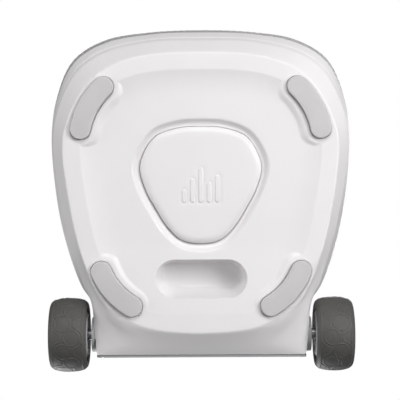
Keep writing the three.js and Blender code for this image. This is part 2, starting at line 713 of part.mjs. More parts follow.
add('tweeter_left', tweeter(), ferrite, -TWEETER_X, BAFFLE_Y, TWEETER_Z);
add('tweeter_right', tweeter(), ferrite, TWEETER_X, BAFFLE_Y, TWEETER_Z);

// ---------------------------------------------------------------- rear fittings

const OUTSIDE = BACK_Y + GAP + PLATE;

function bassPort() {
  return turned('y', [
    [46, OUTSIDE + GAP], [46, OUTSIDE + 2.5], [38, OUTSIDE + 3], [PORT_R, OUTSIDE - 6], [PORT_R, 70],
    [38, 60], [PORT_R + 3, 70], [PORT_R + 3, OUTSIDE + GAP], [46, OUTSIDE + GAP],
  ], FINE).translate(0, 0, PORT_Z);
}

const DISH_DEPTH = 21;
const KNOB_X = [-38, -14];
const KNOB_Z = 366;

function connectorPanel() {
  const [low, high] = PANEL_Z;
  const flange = box(symmetric(PANEL_X + 5), [OUTSIDE + GAP, OUTSIDE + 2.3], [low - 5, high + 5]);
  const tubDepth = [OUTSIDE - DISH_DEPTH, OUTSIDE + 1];
  const tub = box(symmetric(PANEL_X - GAP), tubDepth, [low + GAP, high - GAP]);
  const spaceDepth = [OUTSIDE - DISH_DEPTH + 2.5, OUTSIDE + 5];
  const space = box(symmetric(PANEL_X - 3), spaceDepth, [low + 3, high - 3]);
  const knobHoles = KNOB_X.map((x) => rod('y', 3.3, 140, 180, 16).translate(x, 0, KNOB_Z));
  const jackHole = box([9.7, 48.3], [140, 180], [KNOB_Z - 13.3, KNOB_Z + 13.3]);
  return cut(join(flange, tub), space, jackHole, ...knobHoles);
}

function gainKnob() {
  const face = OUTSIDE - DISH_DEPTH + 2.5;
  const knob = turned('y', [
    [0, face - 8], [3, face - 8], [3, face + GAP], [8.5, face + GAP], [8, face + 13], [0, face + 13],
  ], 20);
  const pointer = box([-0.7, 0.7], [face + 11, face + 14], [2, 9]);
  return cut(knob, pointer);
}

function jackBlock() {
  const face = OUTSIDE - DISH_DEPTH + 4;
  const block = box([10, 48], [face - 16, face], [KNOB_Z - 13, KNOB_Z + 13]);
  const jacks = [[18, 3.3], [30, 3.3], [41, 2]];
  const holes = jacks.map(([x, radius]) => rod('y', radius, -12, 8).translate(x, face, KNOB_Z));
  return cut(block, ...holes);
}

function splashFlap() {
  const [low, high] = PANEL_Z;
  const inner = OUTSIDE + 2.6;
  const plate = upright(roundedRect(PANEL_X + 3, low - 3, high + 3, 5), inner, inner + 2.4);
  const pull = box(symmetric(9), [inner, inner + 4.4], [low - 6, low]);
  return join(plate, pull);
}

function powerInlet() {
  const body = box(symmetric(16.5), [150, OUTSIDE + 0.5], [INLET_Z - 11.5, INLET_Z + 11.5]);
  const barrels = [-4, 4].map((x) => rod('y', 4.6, 0, 30, 16).translate(x, OUTSIDE - 14, INLET_Z));
  return cut(body, ...barrels);
}

function batteryDoor() {
  const [low, high] = DOOR_Z;
  const plate = box(symmetric(DOOR_X - GAP), [BACK_Y + GAP, OUTSIDE], [low + GAP, high - GAP]);
  const fingerNotch = rod('y', 11, 150, 200, 24).translate(0, 0, high + 4);
  return cut(plate, fingerNotch);
}

add('bass_port', bassPort(), darkPlastic);
add('connector_panel', connectorPanel(), darkPlastic);
add('gain_knob_left', gainKnob(), trimGrey, KNOB_X[0], 0, KNOB_Z);
add('gain_knob_right', gainKnob(), trimGrey, KNOB_X[1], 0, KNOB_Z);
add('jack_block', jackBlock(), ferrite);
add('splash_flap', splashFlap(), blackRubber);
add('power_inlet', powerInlet(), ferrite);
add('battery_door', batteryDoor(), trimGrey);

// ---------------------------------------------------------------- inside the cabinet

const FINS = 9;
const FIN_PITCH = 10;

function heatSink() {
  const height = [460, 540];
  const fins = Array.from({ length: FINS }, (_, i) => {
    const x = (i - (FINS - 1) / 2) * FIN_PITCH;
    return box([x - 1.5, x + 1.5], [96, 116], height);
  });
  return join(box(symmetric(44), [115, 119], height), ...fins);
}

add('battery_pack', box(symmetric(50), [90, BACK_Y - 3], [72, 150]), darkPlastic);
add('amplifier_board', box(symmetric(52), [121, 123], [420, 570]), boardGreen);
add('heat_sink', heatSink(), aluminium);
add('power_supply', box(symmetric(50), [112, 145], [276, 318]), ferrite);

export default model;
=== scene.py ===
"""Looks of a wheeled party speaker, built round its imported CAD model.

Shapes are worked out in millimetres in the CAD's own frame (+Z up, front at -Y) and become metres
when a mesh is made. Pieces that show are rebuilt smooth; the rest keep their CAD mesh and get a
material and softened edges.
"""

import json
import math

import bmesh
import bpy
import numpy as np
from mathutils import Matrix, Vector, geometry


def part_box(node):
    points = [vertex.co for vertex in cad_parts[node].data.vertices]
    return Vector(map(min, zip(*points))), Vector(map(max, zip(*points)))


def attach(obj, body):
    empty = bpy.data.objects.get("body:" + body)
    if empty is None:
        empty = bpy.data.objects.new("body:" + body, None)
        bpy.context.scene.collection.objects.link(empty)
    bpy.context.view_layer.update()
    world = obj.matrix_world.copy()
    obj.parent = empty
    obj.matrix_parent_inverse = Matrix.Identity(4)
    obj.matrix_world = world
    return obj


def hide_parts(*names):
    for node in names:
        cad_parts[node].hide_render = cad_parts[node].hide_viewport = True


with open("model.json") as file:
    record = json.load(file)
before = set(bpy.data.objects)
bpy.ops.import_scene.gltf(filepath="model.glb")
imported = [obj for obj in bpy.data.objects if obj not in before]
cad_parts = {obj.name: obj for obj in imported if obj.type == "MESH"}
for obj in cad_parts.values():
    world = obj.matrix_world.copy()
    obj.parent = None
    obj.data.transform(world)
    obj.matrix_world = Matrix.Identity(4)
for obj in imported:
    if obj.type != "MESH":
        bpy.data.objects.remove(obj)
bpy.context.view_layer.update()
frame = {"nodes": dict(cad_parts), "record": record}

# ---------------------------------------------------------------- sizes, in millimetres

MM = 0.001
SIDES = {"left": -1, "right": 1}

RING_Z = 5
FLOOR_Z = 9
BEVEL_Z = 24
PAN_TOP = 30
KNEE_Z = 44  # the wall leans out up to here, and then bends more upright
KNEE_SHARE = 0.68  # of the way from the bevel's outline to the full width
FLARE_Z = 62
SHELL_TOP = 600
BACK_Y = 170
GAP = 0.3
WALL = 6
TUBE_R = 10  # the pull handle's sliding tubes
POLE = np.array([0.0, -10.0])  # outlines are cut by rays from here, so that they stack
RAYS = 480

# Right-hand halves of the outlines seen from above, front centre to rear centre.
WALL_SIDE = [
    (0, -190.5), (59, -188), (108.6, -179), (143.4, -156.5), (162.2, -111.6), (167, -66.7),
    (157.7, 23.2), (134.5, 97), (122.5, 113.5), (118, 140), (115, 167),
]
BEVEL_SIDE = [
    (0, -174), (55.8, -172.4), (110.5, -158.1), (137.9, -136.2), (155.4, -101.2), (162, -65),
    (150, 22.6), (129.5, 92), (120.5, 113), (117.5, 140), (115, 167),
]
REAR_CORNER = (113, BACK_Y)
RING_HALF = [
    (0, -159.4), (70.2, -154), (109.1, -137.7), (130.8, -113.9), (147, -76.5), (149.3, -53.4),
    (143.8, -4), (131.5, 53.3), (111.4, 102.7), (96.1, 119.7), (60.5, 138.5), (0, 145),
]
COVER_HALF = [
    (0, -79.2), (24.6, -77.6), (48.9, -68.5), (62.5, -49), (66, -33), (59.8, -10.2),
    (50.1, 8.1), (35, 31.5), (19.9, 44.5), (0, 48),
]

# ---------------------------------------------------------------- outlines


def curve_through(points, closed, steps=24):
    """Centripetal curve through the points."""
    points = np.array(points, float)
    if closed:
        ring = np.concatenate([points[-1:], points, points[:2]])
    else:
        ring = np.concatenate([2 * points[:1] - points[1:2], points, 2 * points[-1:] - points[-2:-1]])
    t = np.linspace(0, 1, steps, endpoint=False)[:, None]
    pieces = []
    for a, b, c, d in zip(ring, ring[1:], ring[2:], ring[3:]):
        spans = ((a, b), (b, c), (c, d))
        before, along, after = (math.sqrt(np.linalg.norm(q - p)) for p, q in spans)
        leave = along * ((b - a) / before - (c - a) / (before + along) + (c - b) / along)
        arrive = along * ((c - b) / along - (d - b) / (along + after) + (d - c) / after)
        square = 3 * (c - b) - 2 * leave - arrive
        cube = 2 * (b - c) + leave + arrive
        pieces.append(b + leave * t + square * t**2 + cube * t**3)
    if not closed:
        pieces.append(points[-1:])
    return np.concatenate(pieces)


def mirrored(half):
    return [(-x, y) for x, y in reversed(half) if x > 0]


def smooth_outline(half):
    return curve_through(list(half) + mirrored(half), True)


def flat_backed_outline(side):
    curve = curve_through(mirrored(side) + list(side), False)
    x, y = REAR_CORNER
    return np.concatenate([curve, [(x, y), (-x, y)]])


def respaced(outline, spacing):
    """The closed outline again, with evenly spaced points."""
    loop = np.concatenate([outline, outline[:1]])
    along = np.concatenate([[0], np.cumsum(np.linalg.norm(np.diff(loop, axis=0), axis=1))])
    count = round(along[-1] / spacing)
    at = np.linspace(0, along[-1], count, endpoint=False)
    return np.stack([np.interp(at, along, loop[:, k]) for k in (0, 1)], axis=1)


def grown(outline, distance):
    """Moves each point of a counter-clockwise outline outwards, square to its neighbours."""
    chord = np.roll(outline, -1, 0) - np.roll(outline, 1, 0)
    chord /= np.linalg.norm(chord, axis=1)[:, None]
    return outline + distance * np.stack([chord[:, 1], -chord[:, 0]], axis=1)


def ray_angles():
    even = -math.pi / 2 + np.arange(RAYS) * math.tau / RAYS
    corners = []
    for x, y in (WALL_SIDE[-1], REAR_CORNER):
        angle = math.atan2(y - POLE[1], x - POLE[0])
        corners += [angle, math.pi - angle]
    return np.sort(np.concatenate([even, corners]))


def along_rays(outline):
    """The outline's nearest points along fixed rays from the pole, so that outlines stack."""
    angles = ray_angles()
    rays = np.stack([np.cos(angles), np.sin(angles)], axis=1)
    start = outline - POLE
    edge = np.roll(outline, -1, 0) - outline
    slant = rays[:, :1] * edge[:, 1] - rays[:, 1:] * edge[:, 0]
    with np.errstate(divide="ignore", invalid="ignore"):
        reach = (start[:, 0] * edge[:, 1] - start[:, 1] * edge[:, 0]) / slant
        share = (start[:, 0] * rays[:, 1:] - start[:, 1] * rays[:, :1]) / slant
    hits = (reach > 0) & (share > -1e-9) & (share < 1 + 1e-9)
    nearest = np.where(hits, reach, np.inf).min(axis=1)
    return POLE + rays * nearest[:, None]


def inset(outline, distance):
    return along_rays(grown(outline, -distance))


WALL_LINE = along_rays(flat_backed_outline(WALL_SIDE))
BEVEL_LINE = along_rays(flat_backed_outline(BEVEL_SIDE))


def mix(a, b, share):
    return a + (b - a) * share


def wall_at(z):
    """The cabinet's outline at a height."""
    leaning = KNEE_SHARE * (z - BEVEL_Z) / (KNEE_Z - BEVEL_Z)
    steeper = KNEE_SHARE + (1 - KNEE_SHARE) * (z - KNEE_Z) / (FLARE_Z - KNEE_Z)
    return mix(BEVEL_LINE, WALL_LINE, min(leaning, steeper, 1))


def inside_distance(points, outline):
    """How far each point lies inside a closed outline; negative outside it."""
    edge = np.roll(outline, -1, 0) - outline
    length2 = (edge**2).sum(1)
    result = []
    for chunk in np.array_split(points, max(1, len(points) // 2000)):
        x, y = (chunk[:, None, k] - outline[None, :, k] for k in (0, 1))
        share = np.clip((x * edge[:, 0] + y * edge[:, 1]) / length2, 0, 1)
        distance = np.hypot(x - share * edge[:, 0], y - share * edge[:, 1]).min(axis=1)
        above = y >= 0
        crosses = above != (y - edge[:, 1] >= 0)
        slope = np.divide(edge[:, 0], edge[:, 1], out=np.zeros(len(edge)), where=edge[:, 1] != 0)
        inside = (crosses & (x < y * slope)).sum(axis=1) % 2 == 1
        result.append(np.where(inside, distance, -distance))
    return np.concatenate(result)


def ramp(value, low, high):
    t = np.clip((value - low) / (high - low), 0, 1)
    return t * t * (3 - 2 * t)


def stadium(half_x, low, high, steps=24):
    """Wholly round-ended slot, counter-clockwise."""
    radius = (high - low) / 2
    middle = (high + low) / 2
    turn = np.linspace(-math.pi / 2, math.pi / 2, steps)
    end = np.stack([half_x - radius + radius * np.cos(turn), middle + radius * np.sin(turn)], axis=1)
    other = np.stack([-end[:, 0], 2 * middle - end[:, 1]], axis=1)
    return np.concatenate([end, other])


def rounded_rectangle(low, high, radius, steps=6):
    """Counter-clockwise rectangle between two opposite corners, with round corners."""
    (x0, y0), (x1, y1) = low, high
    centres = [(x1 - radius, y0 + radius), (x1 - radius, y1 - radius),
               (x0 + radius, y1 - radius), (x0 + radius, y0 + radius)]
    points = []
    for quarter, (x, y) in enumerate(centres):
        for turn in np.linspace(0, math.pi / 2, steps) + (quarter - 1) * math.pi / 2:
            points.append((x + radius * math.cos(turn), y + radius * math.sin(turn)))
    return np.array(points)


# ---------------------------------------------------------------- shapes: (vertices, faces)


def grid_faces(rows, columns, joined=False):
    """Quads between rows of points that close on themselves; joined adds last row to first."""
    faces = []
    for row in range(rows if joined else rows - 1):
        low = row * columns
        high = (row + 1) % rows * columns
        for i in range(columns):
            j = (i + 1) % columns
            faces.append((low + i, low + j, high + j, high + i))
    return faces


def loft(levels, ends="capped"):
    """Skin over stacked outlines of one point count: (outline, z) pairs.

    The ends are capped, open, or joined to each other, which makes a wall with two sides.
    """
    count = len(levels[0][0])
    rings = [np.column_stack([outline, np.full(count, float(z))]) for outline, z in levels]
    faces = grid_faces(len(levels), count, ends == "joined")
    if ends == "capped":
        last = (len(levels) - 1) * count
        faces.append(tuple(reversed(range(count))))
        faces.append(tuple(range(last, last + count)))
    return np.concatenate(rings), faces


def plate(outline, low, high, low_round=0, high_round=0):
    """Solid over an outline, whose lower and upper edges can be rounded."""
    steps = 5
    levels = []
    for turn in np.linspace(0, math.pi / 2, steps if low_round else 1):
        back = low_round * (1 - math.sin(turn))
        levels.append((grown(outline, -back), low + low_round * (1 - math.cos(turn))))
    for turn in np.linspace(0, math.pi / 2, steps if high_round else 1):
        back = high_round * (1 - math.cos(turn))
        levels.append((grown(outline, -back), high - high_round * (1 - math.sin(turn))))
    return loft(levels)


def smooth_profile(points, step):
    """A profile's points with long stretches divided, so that round shapes stay round."""
    points = np.array(points, float)
    result = []
    for a, b in zip(points, points[1:]):
        count = max(1, math.ceil(np.linalg.norm(b - a) / step))
        result.append(a + (b - a) * np.linspace(0, 1, count, endpoint=False)[:, None])
    return np.concatenate(result + [points[-1:]])


def turned(profile, segments=128):
    """Solid turned about Z from (radius, z) pairs, on the axis at both ends or closed on itself."""
    profile = np.array(profile, float)
    closed = np.allclose(profile[0], profile[-1])
    rows = profile[:-1] if closed else profile
    angle = np.arange(segments) * math.tau / segments
    vertices = np.concatenate([
        np.column_stack([r * np.cos(angle), r * np.sin(angle), np.full(segments, z)]) for r, z in rows
    ])
    return vertices, grid_faces(len(rows), segments, closed)


def polar(vertices):
    """Radius and angle of each vertex about Z."""
    return np.hypot(vertices[:, 0], vertices[:, 1]), np.arctan2(vertices[:, 1], vertices[:, 0])


def rounded(profile, radius):
    """Profile with every corner replaced by a small curve; a closed profile stays closed."""
    steps = 4
    longest = 0.45  # share of a side that one corner can take up
    points = np.array(profile, float)
    closed = np.allclose(points[0], points[-1])
    core = points[:-1] if closed else points
    count = len(core)
    result = []
    for i in range(count):
        if not closed and i in (0, count - 1):
            result.append(core[i])
            continue
        here, before, after = core[i], core[i - 1], core[(i + 1) % count]
        back, ahead = before - here, after - here
        reach = min(radius, longest * np.linalg.norm(back), longest * np.linalg.norm(ahead))
        start = here + back / np.linalg.norm(back) * reach
        end = here + ahead / np.linalg.norm(ahead) * reach
        for t in np.linspace(0, 1, steps):
            result.append((1 - t) ** 2 * start + 2 * t * (1 - t) * here + t**2 * end)
    if closed:
        result.append(result[0])
    return np.array(result)


def moved(shape, x=0.0, y=0.0, z=0.0):
    vertices, faces = shape
    return vertices + np.array([x, y, z]), faces


def along_x(shape, side=1):
    """Turns a shape made along Z so that it runs along X, outwards on the given side."""
    vertices, faces = shape
    return np.column_stack([side * vertices[:, 2], vertices[:, 0], vertices[:, 1]]), faces


def along_y(shape):
    """Turns a shape made along Z so that it runs along +Y; its X stays X and its Y becomes Z."""
    vertices, faces = shape
    return np.column_stack([vertices[:, 0], vertices[:, 2], vertices[:, 1]]), faces


def together(*shapes):
    vertices, faces, start = [], [], 0
    for points, loops in shapes:
        vertices.append(points)
        faces += [tuple(start + i for i in loop) for loop in loops]
        start += len(points)
    return np.concatenate(vertices), faces


def brick(x, y, z):
    """Box between three (low, high) pairs."""
    outline = np.array([(x[0], y[0]), (x[1], y[0]), (x[1], y[1]), (x[0], y[1])], float)
    return loft([(outline, z[0]), (outline, z[1])])


def rod(radius, low, high):
    return turned([(0, low), (radius, low), (radius, high), (0, high)], 64)


def boundary_edges(faces):
    """Directed edges that only one face uses."""
    edges = dict.fromkeys(edge for face in faces for edge in zip(face, face[1:] + face[:1]))
    return [(a, b) for a, b in edges if (b, a) not in edges]


def two_sided(lower, upper, faces, rim):
    """Sheet between two layers of points that share their faces, closed along the rim's edges."""
    count = len(lower)
    skin = [tuple(face) for face in faces]
    skin += [tuple(count + i for i in reversed(face)) for face in faces]
    skin += [(b, a, count + a, count + b) for a, b in rim]
    return np.concatenate([lower, upper]), skin


# ---------------------------------------------------------------- Blender objects

BODY_OF = {
    node: body for body, nodes in frame["record"]["behaviour"]["bodies"].items() for node in nodes
}
SLOT_OF = {part["node"]: part["material_slot"] for part in frame["record"]["subparts"]}
MATERIAL = {}


def plain_object(name, shape):
    vertices, faces = shape
    mesh = bpy.data.meshes.new(name)
    mesh.from_pydata((np.asarray(vertices) * MM).tolist(), [], faces)
    work = bmesh.new()
    work.from_mesh(mesh)
    bmesh.ops.remove_doubles(work, verts=work.verts, dist=1e-6)
    bmesh.ops.recalc_face_normals(work, faces=work.faces)
    work.to_mesh(mesh)
    work.free()
    obj = bpy.data.objects.new(name, mesh)
    bpy.context.scene.collection.objects.link(obj)
    return obj


def apply_modifiers(obj):
    shown = obj.evaluated_get(bpy.context.evaluated_depsgraph_get())
    mesh = bpy.data.meshes.new_from_object(shown)
    obj.modifiers.clear()
    obj.data = mesh


def combine(obj, operation, *tools):
    """Cuts the tool shapes out of an object (DIFFERENCE) or adds them to it (UNION)."""
    for shape in tools:
        tool = plain_object("tool", shape)
        modifier = obj.modifiers.new("combine", "BOOLEAN")
        modifier.operation = operation
        modifier.solver = "EXACT"
        modifier.object = tool
        apply_modifiers(obj)
        bpy.data.objects.remove(tool)


def carve(obj, *tools):
    combine(obj, "DIFFERENCE", *tools)


def close_slivers(obj):
    """Fills the tiny gaps of three or four sides that cutting can leave."""
    work = bmesh.new()
    work.from_mesh(obj.data)
    gaps = [edge for edge in work.edges if edge.is_boundary]
    most_sides = 4
    bmesh.ops.holes_fill(work, edges=gaps, sides=most_sides)
    work.to_mesh(obj.data)
    work.free()


def dress(obj, body, slot, nodes=(), sharp=32):
    """Gives a visual piece its finish, its smooth shading and its place in the mechanism.

    Edges that turn by more than the sharp angle, in degrees, stay crisp.
    """
    close_slivers(obj)
    obj.data.materials.clear()
    obj.data.materials.append(MATERIAL[slot])
    obj.data.shade_smooth()
    obj.data.set_sharp_from_angle(angle=math.radians(sharp))
    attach(obj, body)
    if nodes:
        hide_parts(*nodes)


def show(node, shape, tools=(), added=(), sharp=32):
    """A smooth piece that stands for one CAD node."""
    obj = plain_object(f"{node}_smooth", shape)
    combine(obj, "UNION", *added)
    carve(obj, *tools)
    dress(obj, BODY_OF[node], SLOT_OF[node], [node], sharp)


def node_box(node):
    """(lowest corner, highest corner) of a CAD node, in millimetres."""
    low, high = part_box(node)
    return np.array(low) / MM, np.array(high) / MM


def node_middle(node):
    low, high = node_box(node)
    return (low + high) / 2


# ---------------------------------------------------------------- materials

GLOSS_DRIFT = 0.12
WORN_EDGES = (0.53, 0.62)  # pointiness at which rubbing starts, and is complete


def node_tree(owner):
    """The nodes and links of a material or a world."""
    owner.use_nodes = True
    return owner.node_tree.nodes, owner.node_tree.links


def grain(nodes, links, coordinates, size_mm, detail, stretch=(1, 1, 1)):
    """Noise whose features are about size_mm across."""
    mapping = nodes.new("ShaderNodeMapping")
    mapping.inputs["Scale"].default_value = stretch
    noise = nodes.new("ShaderNodeTexNoise")
    noise.inputs["Scale"].default_value = 1 / (size_mm * MM)
    noise.inputs["Detail"].default_value = detail
    links.new(coordinates.outputs["Object"], mapping.inputs["Vector"])
    links.new(mapping.outputs["Vector"], noise.inputs["Vector"])
    return noise.outputs["Fac"]


def spread(nodes, links, value, low, high, from_low=0.25, from_high=0.75):
    """The value moved into another range."""
    node = nodes.new("ShaderNodeMapRange")
    node.inputs["From Min"].default_value = from_low
    node.inputs["From Max"].default_value = from_high
    node.inputs["To Min"].default_value = low
    node.inputs["To Max"].default_value = high
    links.new(value, node.inputs["Value"])
    return node.outputs["Result"]


def colour_mix(nodes, links, factor, first, second):
    """Mix of two colours; either one can be a fixed colour or another node's output."""
    node = nodes.new("ShaderNodeMix")
    node.data_type = "RGBA"
    links.new(factor, node.inputs["Factor"])
    for index, value in ((6, first), (7, second)):
        if isinstance(value, tuple):
            node.inputs[index].default_value = (*value, 1)
        else:
            links.new(value, node.inputs[index])
    return node.outputs[2]


def material(slot, colour, roughness, metallic=0.0, grain_mm=0.7, depth_mm=0.012, mottle=0.03,
             wear=1.06, stretch=(1, 1, 1), coat=0.0, patch_mm=45):
    """Material with a fine bump, drifting colour and gloss, and edges rubbed lighter."""
    made = bpy.data.materials.new(slot)
    nodes, links = node_tree(made)
    shader = nodes["Principled BSDF"]
    place = nodes.new("ShaderNodeTexCoord")
    fine = grain(nodes, links, place, grain_mm, detail=3, stretch=stretch)
    patches = grain(nodes, links, place, patch_mm, detail=5)
    smudges = grain(nodes, links, place, patch_mm / 6, detail=4)
    dark, light, worn = (tuple(min(1, c * k) for c in colour) for k in (1 - mottle, 1 + mottle, wear))
    tone = colour_mix(nodes, links, spread(nodes, links, patches, 0, 1), dark, light)
    edges = nodes.new("ShaderNodeNewGeometry").outputs["Pointiness"]
    rubbed = colour_mix(nodes, links, spread(nodes, links, edges, 0, 1, *WORN_EDGES), tone, worn)
    links.new(rubbed, shader.inputs["Base Color"])
    least, most = roughness * (1 - GLOSS_DRIFT), min(1, roughness * (1 + GLOSS_DRIFT))
    links.new(spread(nodes, links, smudges, least, most), shader.inputs["Roughness"])
    bump = nodes.new("ShaderNodeBump")
    bump.inputs["Strength"].default_value = 1
    bump.inputs["Distance"].default_value = depth_mm * MM
    links.new(fine, bump.inputs["Height"])
    links.new(bump.outputs["Normal"], shader.inputs["Normal"])
    shader.inputs["Metallic"].default_value = metallic
    shader.inputs["Coat Weight"].default_value = coat
    MATERIAL[slot] = made


def make_plastics():
    material("shell_white", (0.80, 0.782, 0.787), 0.42, grain_mm=0.9, depth_mm=0.006, mottle=0.012)
    material("trim_grey", (0.42, 0.42, 0.425), 0.5, grain_mm=0.8, depth_mm=0.01)
    material("hub_grey", (0.36, 0.36, 0.37), 0.5)
    material("light_diffuser", (0.82, 0.82, 0.84), 0.35, grain_mm=0.6, depth_mm=0.008, mottle=0.02,
             coat=0.3)
    material("dark_plastic", (0.028, 0.028, 0.03), 0.45, grain_mm=0.6, depth_mm=0.018, mottle=0.1,
             wear=1.8)
    material("socket_black", (0.02, 0.02, 0.021), 0.4, grain_mm=0.5, depth_mm=0.01, mottle=0.1,
             wear=1.6)


def make_rubbers():
    material("foot_rubber", (0.56, 0.545, 0.55), 0.75, grain_mm=0.5, depth_mm=0.02)
    material("tyre_rubber", (0.075, 0.073, 0.07), 0.62, grain_mm=0.45, depth_mm=0.02, mottle=0.08,
             wear=1.5)
    material("black_rubber", (0.016, 0.016, 0.017), 0.72, grain_mm=0.4, depth_mm=0.02, mottle=0.12,
             wear=1.6)


def make_metals():
    brushed = {"metallic": 1.0, "depth_mm": 0.004}
    material("steel", (0.62, 0.62, 0.63), 0.28, grain_mm=0.25, stretch=(0.05, 1, 1), **brushed)
    material("tube_aluminium", (0.72, 0.72, 0.73), 0.32, grain_mm=0.3, stretch=(1, 1, 0.03), **brushed)
    material("grille_metal", (0.46, 0.455, 0.45), 0.5, grain_mm=0.35, mottle=0.05)
    material("driver_metal", (0.075, 0.075, 0.08), 0.5, metallic=0.5, grain_mm=0.5, depth_mm=0.02,
             mottle=0.08, wear=1.7)


def make_other_materials():
    fibres = (3, 3, 0.6)
    material("cone_fibre", (0.035, 0.035, 0.037), 0.68, depth_mm=0.05, mottle=0.18, stretch=fibres)
    material("board_green", (0.03, 0.13, 0.055), 0.5, grain_mm=1.6, depth_mm=0.05, mottle=0.2,
             patch_mm=6)


# ---------------------------------------------------------------- base pan

FOOT_R = 11.3
FOOT_TOP = 9
SEAT_GAP = 0.5  # round each foot in its seat
SEAT_LIP = (0.5, 0.6)  # height and width of the soft edge round a seat
FOOT_SPINES = {
    "front": ((-105, -121.8), (-130, -76.6), 4),
    "rear": ((-108.1, 77.7), (-75.1, 115.4), 4),
}
GRIP_HALF_X = 49.5
GRIP_Y = (65.6, 106.9)
GRIP_ROOF = 40
GRIP_SLANT = (3.5, 10)  # width of the pocket's front and rear walls, seen from below
GRIP_LIP = 0.3  # how far outside the pocket's outline its skin starts to rise
RECESS_SLOPE = (18.5, 46)  # how far inside the ring's outline the floor starts to sink, and ends
RECESS_REAR = (124, 50)  # behind the pocket it sinks much more slowly, between these places
BOSS_SLOPE = (4, 13)  # distances from a foot between which its boss drops to the floor
DISH_Z = 14.5
DISH_START = 1  # distance from the cover where its dish starts to slope
DISH_WIDTH = 7
DISH_REACH = 12  # distance from the cover up to which the dish counts
DISH_LINE = 9  # distance from the cover where dish and floor meet
DISH_BLEND = 0.4  # softness of that line
COVER_GAP = 0.7
CORNER_REACH = 16  # points over which the rear corners are rounded
CORNER_ZONE = (40, 90)  # the rounding grows between these places, towards the rear
EDGE = 1.2  # how far the soft edge between ring and bevel reaches
EDGE_SHARE = 0.09  # of the bevel, taken up by that soft edge
PAN_WALL = 3
SHEET_TOP = 16  # hidden upper side of ring and floor
DISH_TOP = 22  # the same round the dish
DISH_RIM = 13  # distance from the cover up to which it is that high
LINE_STEP = 1.2  # between points on the outlines of cover and pocket
PAN_STEP = 1.35  # between the pan's points where it has detail
ON_LINE = 0.01  # points this near an outline lie on it


def foot_outline(spine, side, radius):
    """Banana-shaped outline round a bowed spine; side 1 keeps it on the left of the object."""
    steps = 24
    (x0, y0), (x1, y1), bow = spine
    first, last = np.array([x0 * side, y0]), np.array([x1 * side, y1])
    chord = (last - first) / np.linalg.norm(last - first)
    middle = (first + last) / 2
    outwards = middle - POLE
    outwards -= chord * (outwards @ chord)
    control = middle + 2 * bow * outwards / np.linalg.norm(outwards)
    t = np.linspace(0, 1, steps)[:, None]
    line = (1 - t) ** 2 * first + 2 * t * (1 - t) * control + t**2 * last
    tangent = 2 * (1 - t) * (control - first) + 2 * t * (last - control)
    tangent /= np.linalg.norm(tangent, axis=1)[:, None]
    across = radius * np.column_stack([tangent[:, 1], -tangent[:, 0]])
    rounds = []
    for centre, heading in ((last, tangent[-1]), (first, -tangent[0])):
        start = math.atan2(-heading[0], heading[1])
        turn = start + np.linspace(0, math.pi, steps)[1:-1]
        rounds.append(centre + radius * np.column_stack([np.cos(turn), np.sin(turn)]))
    loop = np.concatenate([line + across, rounds[0], (line - across)[::-1], rounds[1]])
    x, y = loop[:, 0], loop[:, 1]
    area = (x * np.roll(y, -1) - y * np.roll(x, -1)).sum()
    return loop if area > 0 else loop[::-1]


RING_LINE = along_rays(smooth_outline(RING_HALF))
RING_EDGE = grown(RING_LINE, -EDGE)
COVER_LINE = respaced(smooth_outline(COVER_HALF), LINE_STEP)
GRIP_LINE = respaced(stadium(GRIP_HALF_X, *GRIP_Y), LINE_STEP)
SEAT_LINES = [
    foot_outline(spine, side, FOOT_R + SEAT_GAP) for spine in FOOT_SPINES.values() for side in (1, -1)
]


def plan_mesh(outer, holes, lines, spacing, wants_detail):
    """Triangles that fill an outline seen from above and follow every given line.

    Points are close together where wants_detail says so and four times as far apart elsewhere.
    """
    loops = [outer, *holes, *lines]
    low, high = outer.min(0), outer.max(0)
    rise = spacing * math.sqrt(3) / 2
    rows, columns = (int(n) + 2 for n in ((high[1] - low[1]) / rise, (high[0] - low[0]) / spacing))
    row, column = (a.ravel() for a in np.mgrid[:rows, :columns])
    points = low + np.stack([(column + row % 2 / 2) * spacing, row * rise], axis=1)
    coarse = 4
    sparse = (row % coarse == 0) & (column % coarse == 0)
    outer_margin, line_margin = 0.6 * spacing, 0.45 * spacing
    keep = inside_distance(points, outer) > outer_margin
    points, sparse = points[keep], sparse[keep]
    for loop in loops[1:]:
        clear = np.abs(inside_distance(points, loop)) > line_margin
        points, sparse = points[clear], sparse[clear]
    points = points[sparse | wants_detail(points)]
    edges, start = [], 0
    for loop in loops:
        count = len(loop)
        edges += [(start + i, start + (i + 1) % count) for i in range(count)]
        start += count
    everything = np.concatenate([*loops, points])
    made = geometry.delaunay_2d_cdt([Vector(p) for p in everything.tolist()], edges, [], 0, 1e-7)
    vertices = np.array([tuple(v) for v in made[0]])
    faces = np.array(made[2])
    centres = vertices[faces].mean(axis=1)
    wanted = inside_distance(centres, outer) > 0
    for hole in holes:
        wanted &= inside_distance(centres, hole) < 0
    return vertices, faces[wanted]


def recess_share(points):
    """How far the floor has sunk to its full depth: a shallow dish, with a boss round each foot."""
    start, end = RECESS_SLOPE
    t = np.clip((inside_distance(points, RING_LINE) - start) / (end - start), 0, 1)
    rear, full = RECESS_REAR
    from_rear = np.clip((rear - points[:, 1]) / (rear - full), 0, 1)
    beside_feet = [ramp(-inside_distance(points, seat), *BOSS_SLOPE) for seat in SEAT_LINES]
    return np.min([1 - (1 - t) ** 2, from_rear, *beside_feet], axis=0)


def pocket_share(points):
    """How far the finger pocket's skin has risen to its roof: steep in front, a wider slant behind."""
    low, high = GRIP_Y
    backward = (points[:, 1] - (low + high) / 2) / ((high - low) / 2)
    width = mix(*GRIP_SLANT, ramp(backward, -0.8, 0.8))
    t = (inside_distance(points, GRIP_LINE) + GRIP_LIP) / width
    crease = 0.02
    rise = (t + 1 - np.sqrt((t - 1) ** 2 + crease)) / 2
    return np.clip(rise, 0, 1)


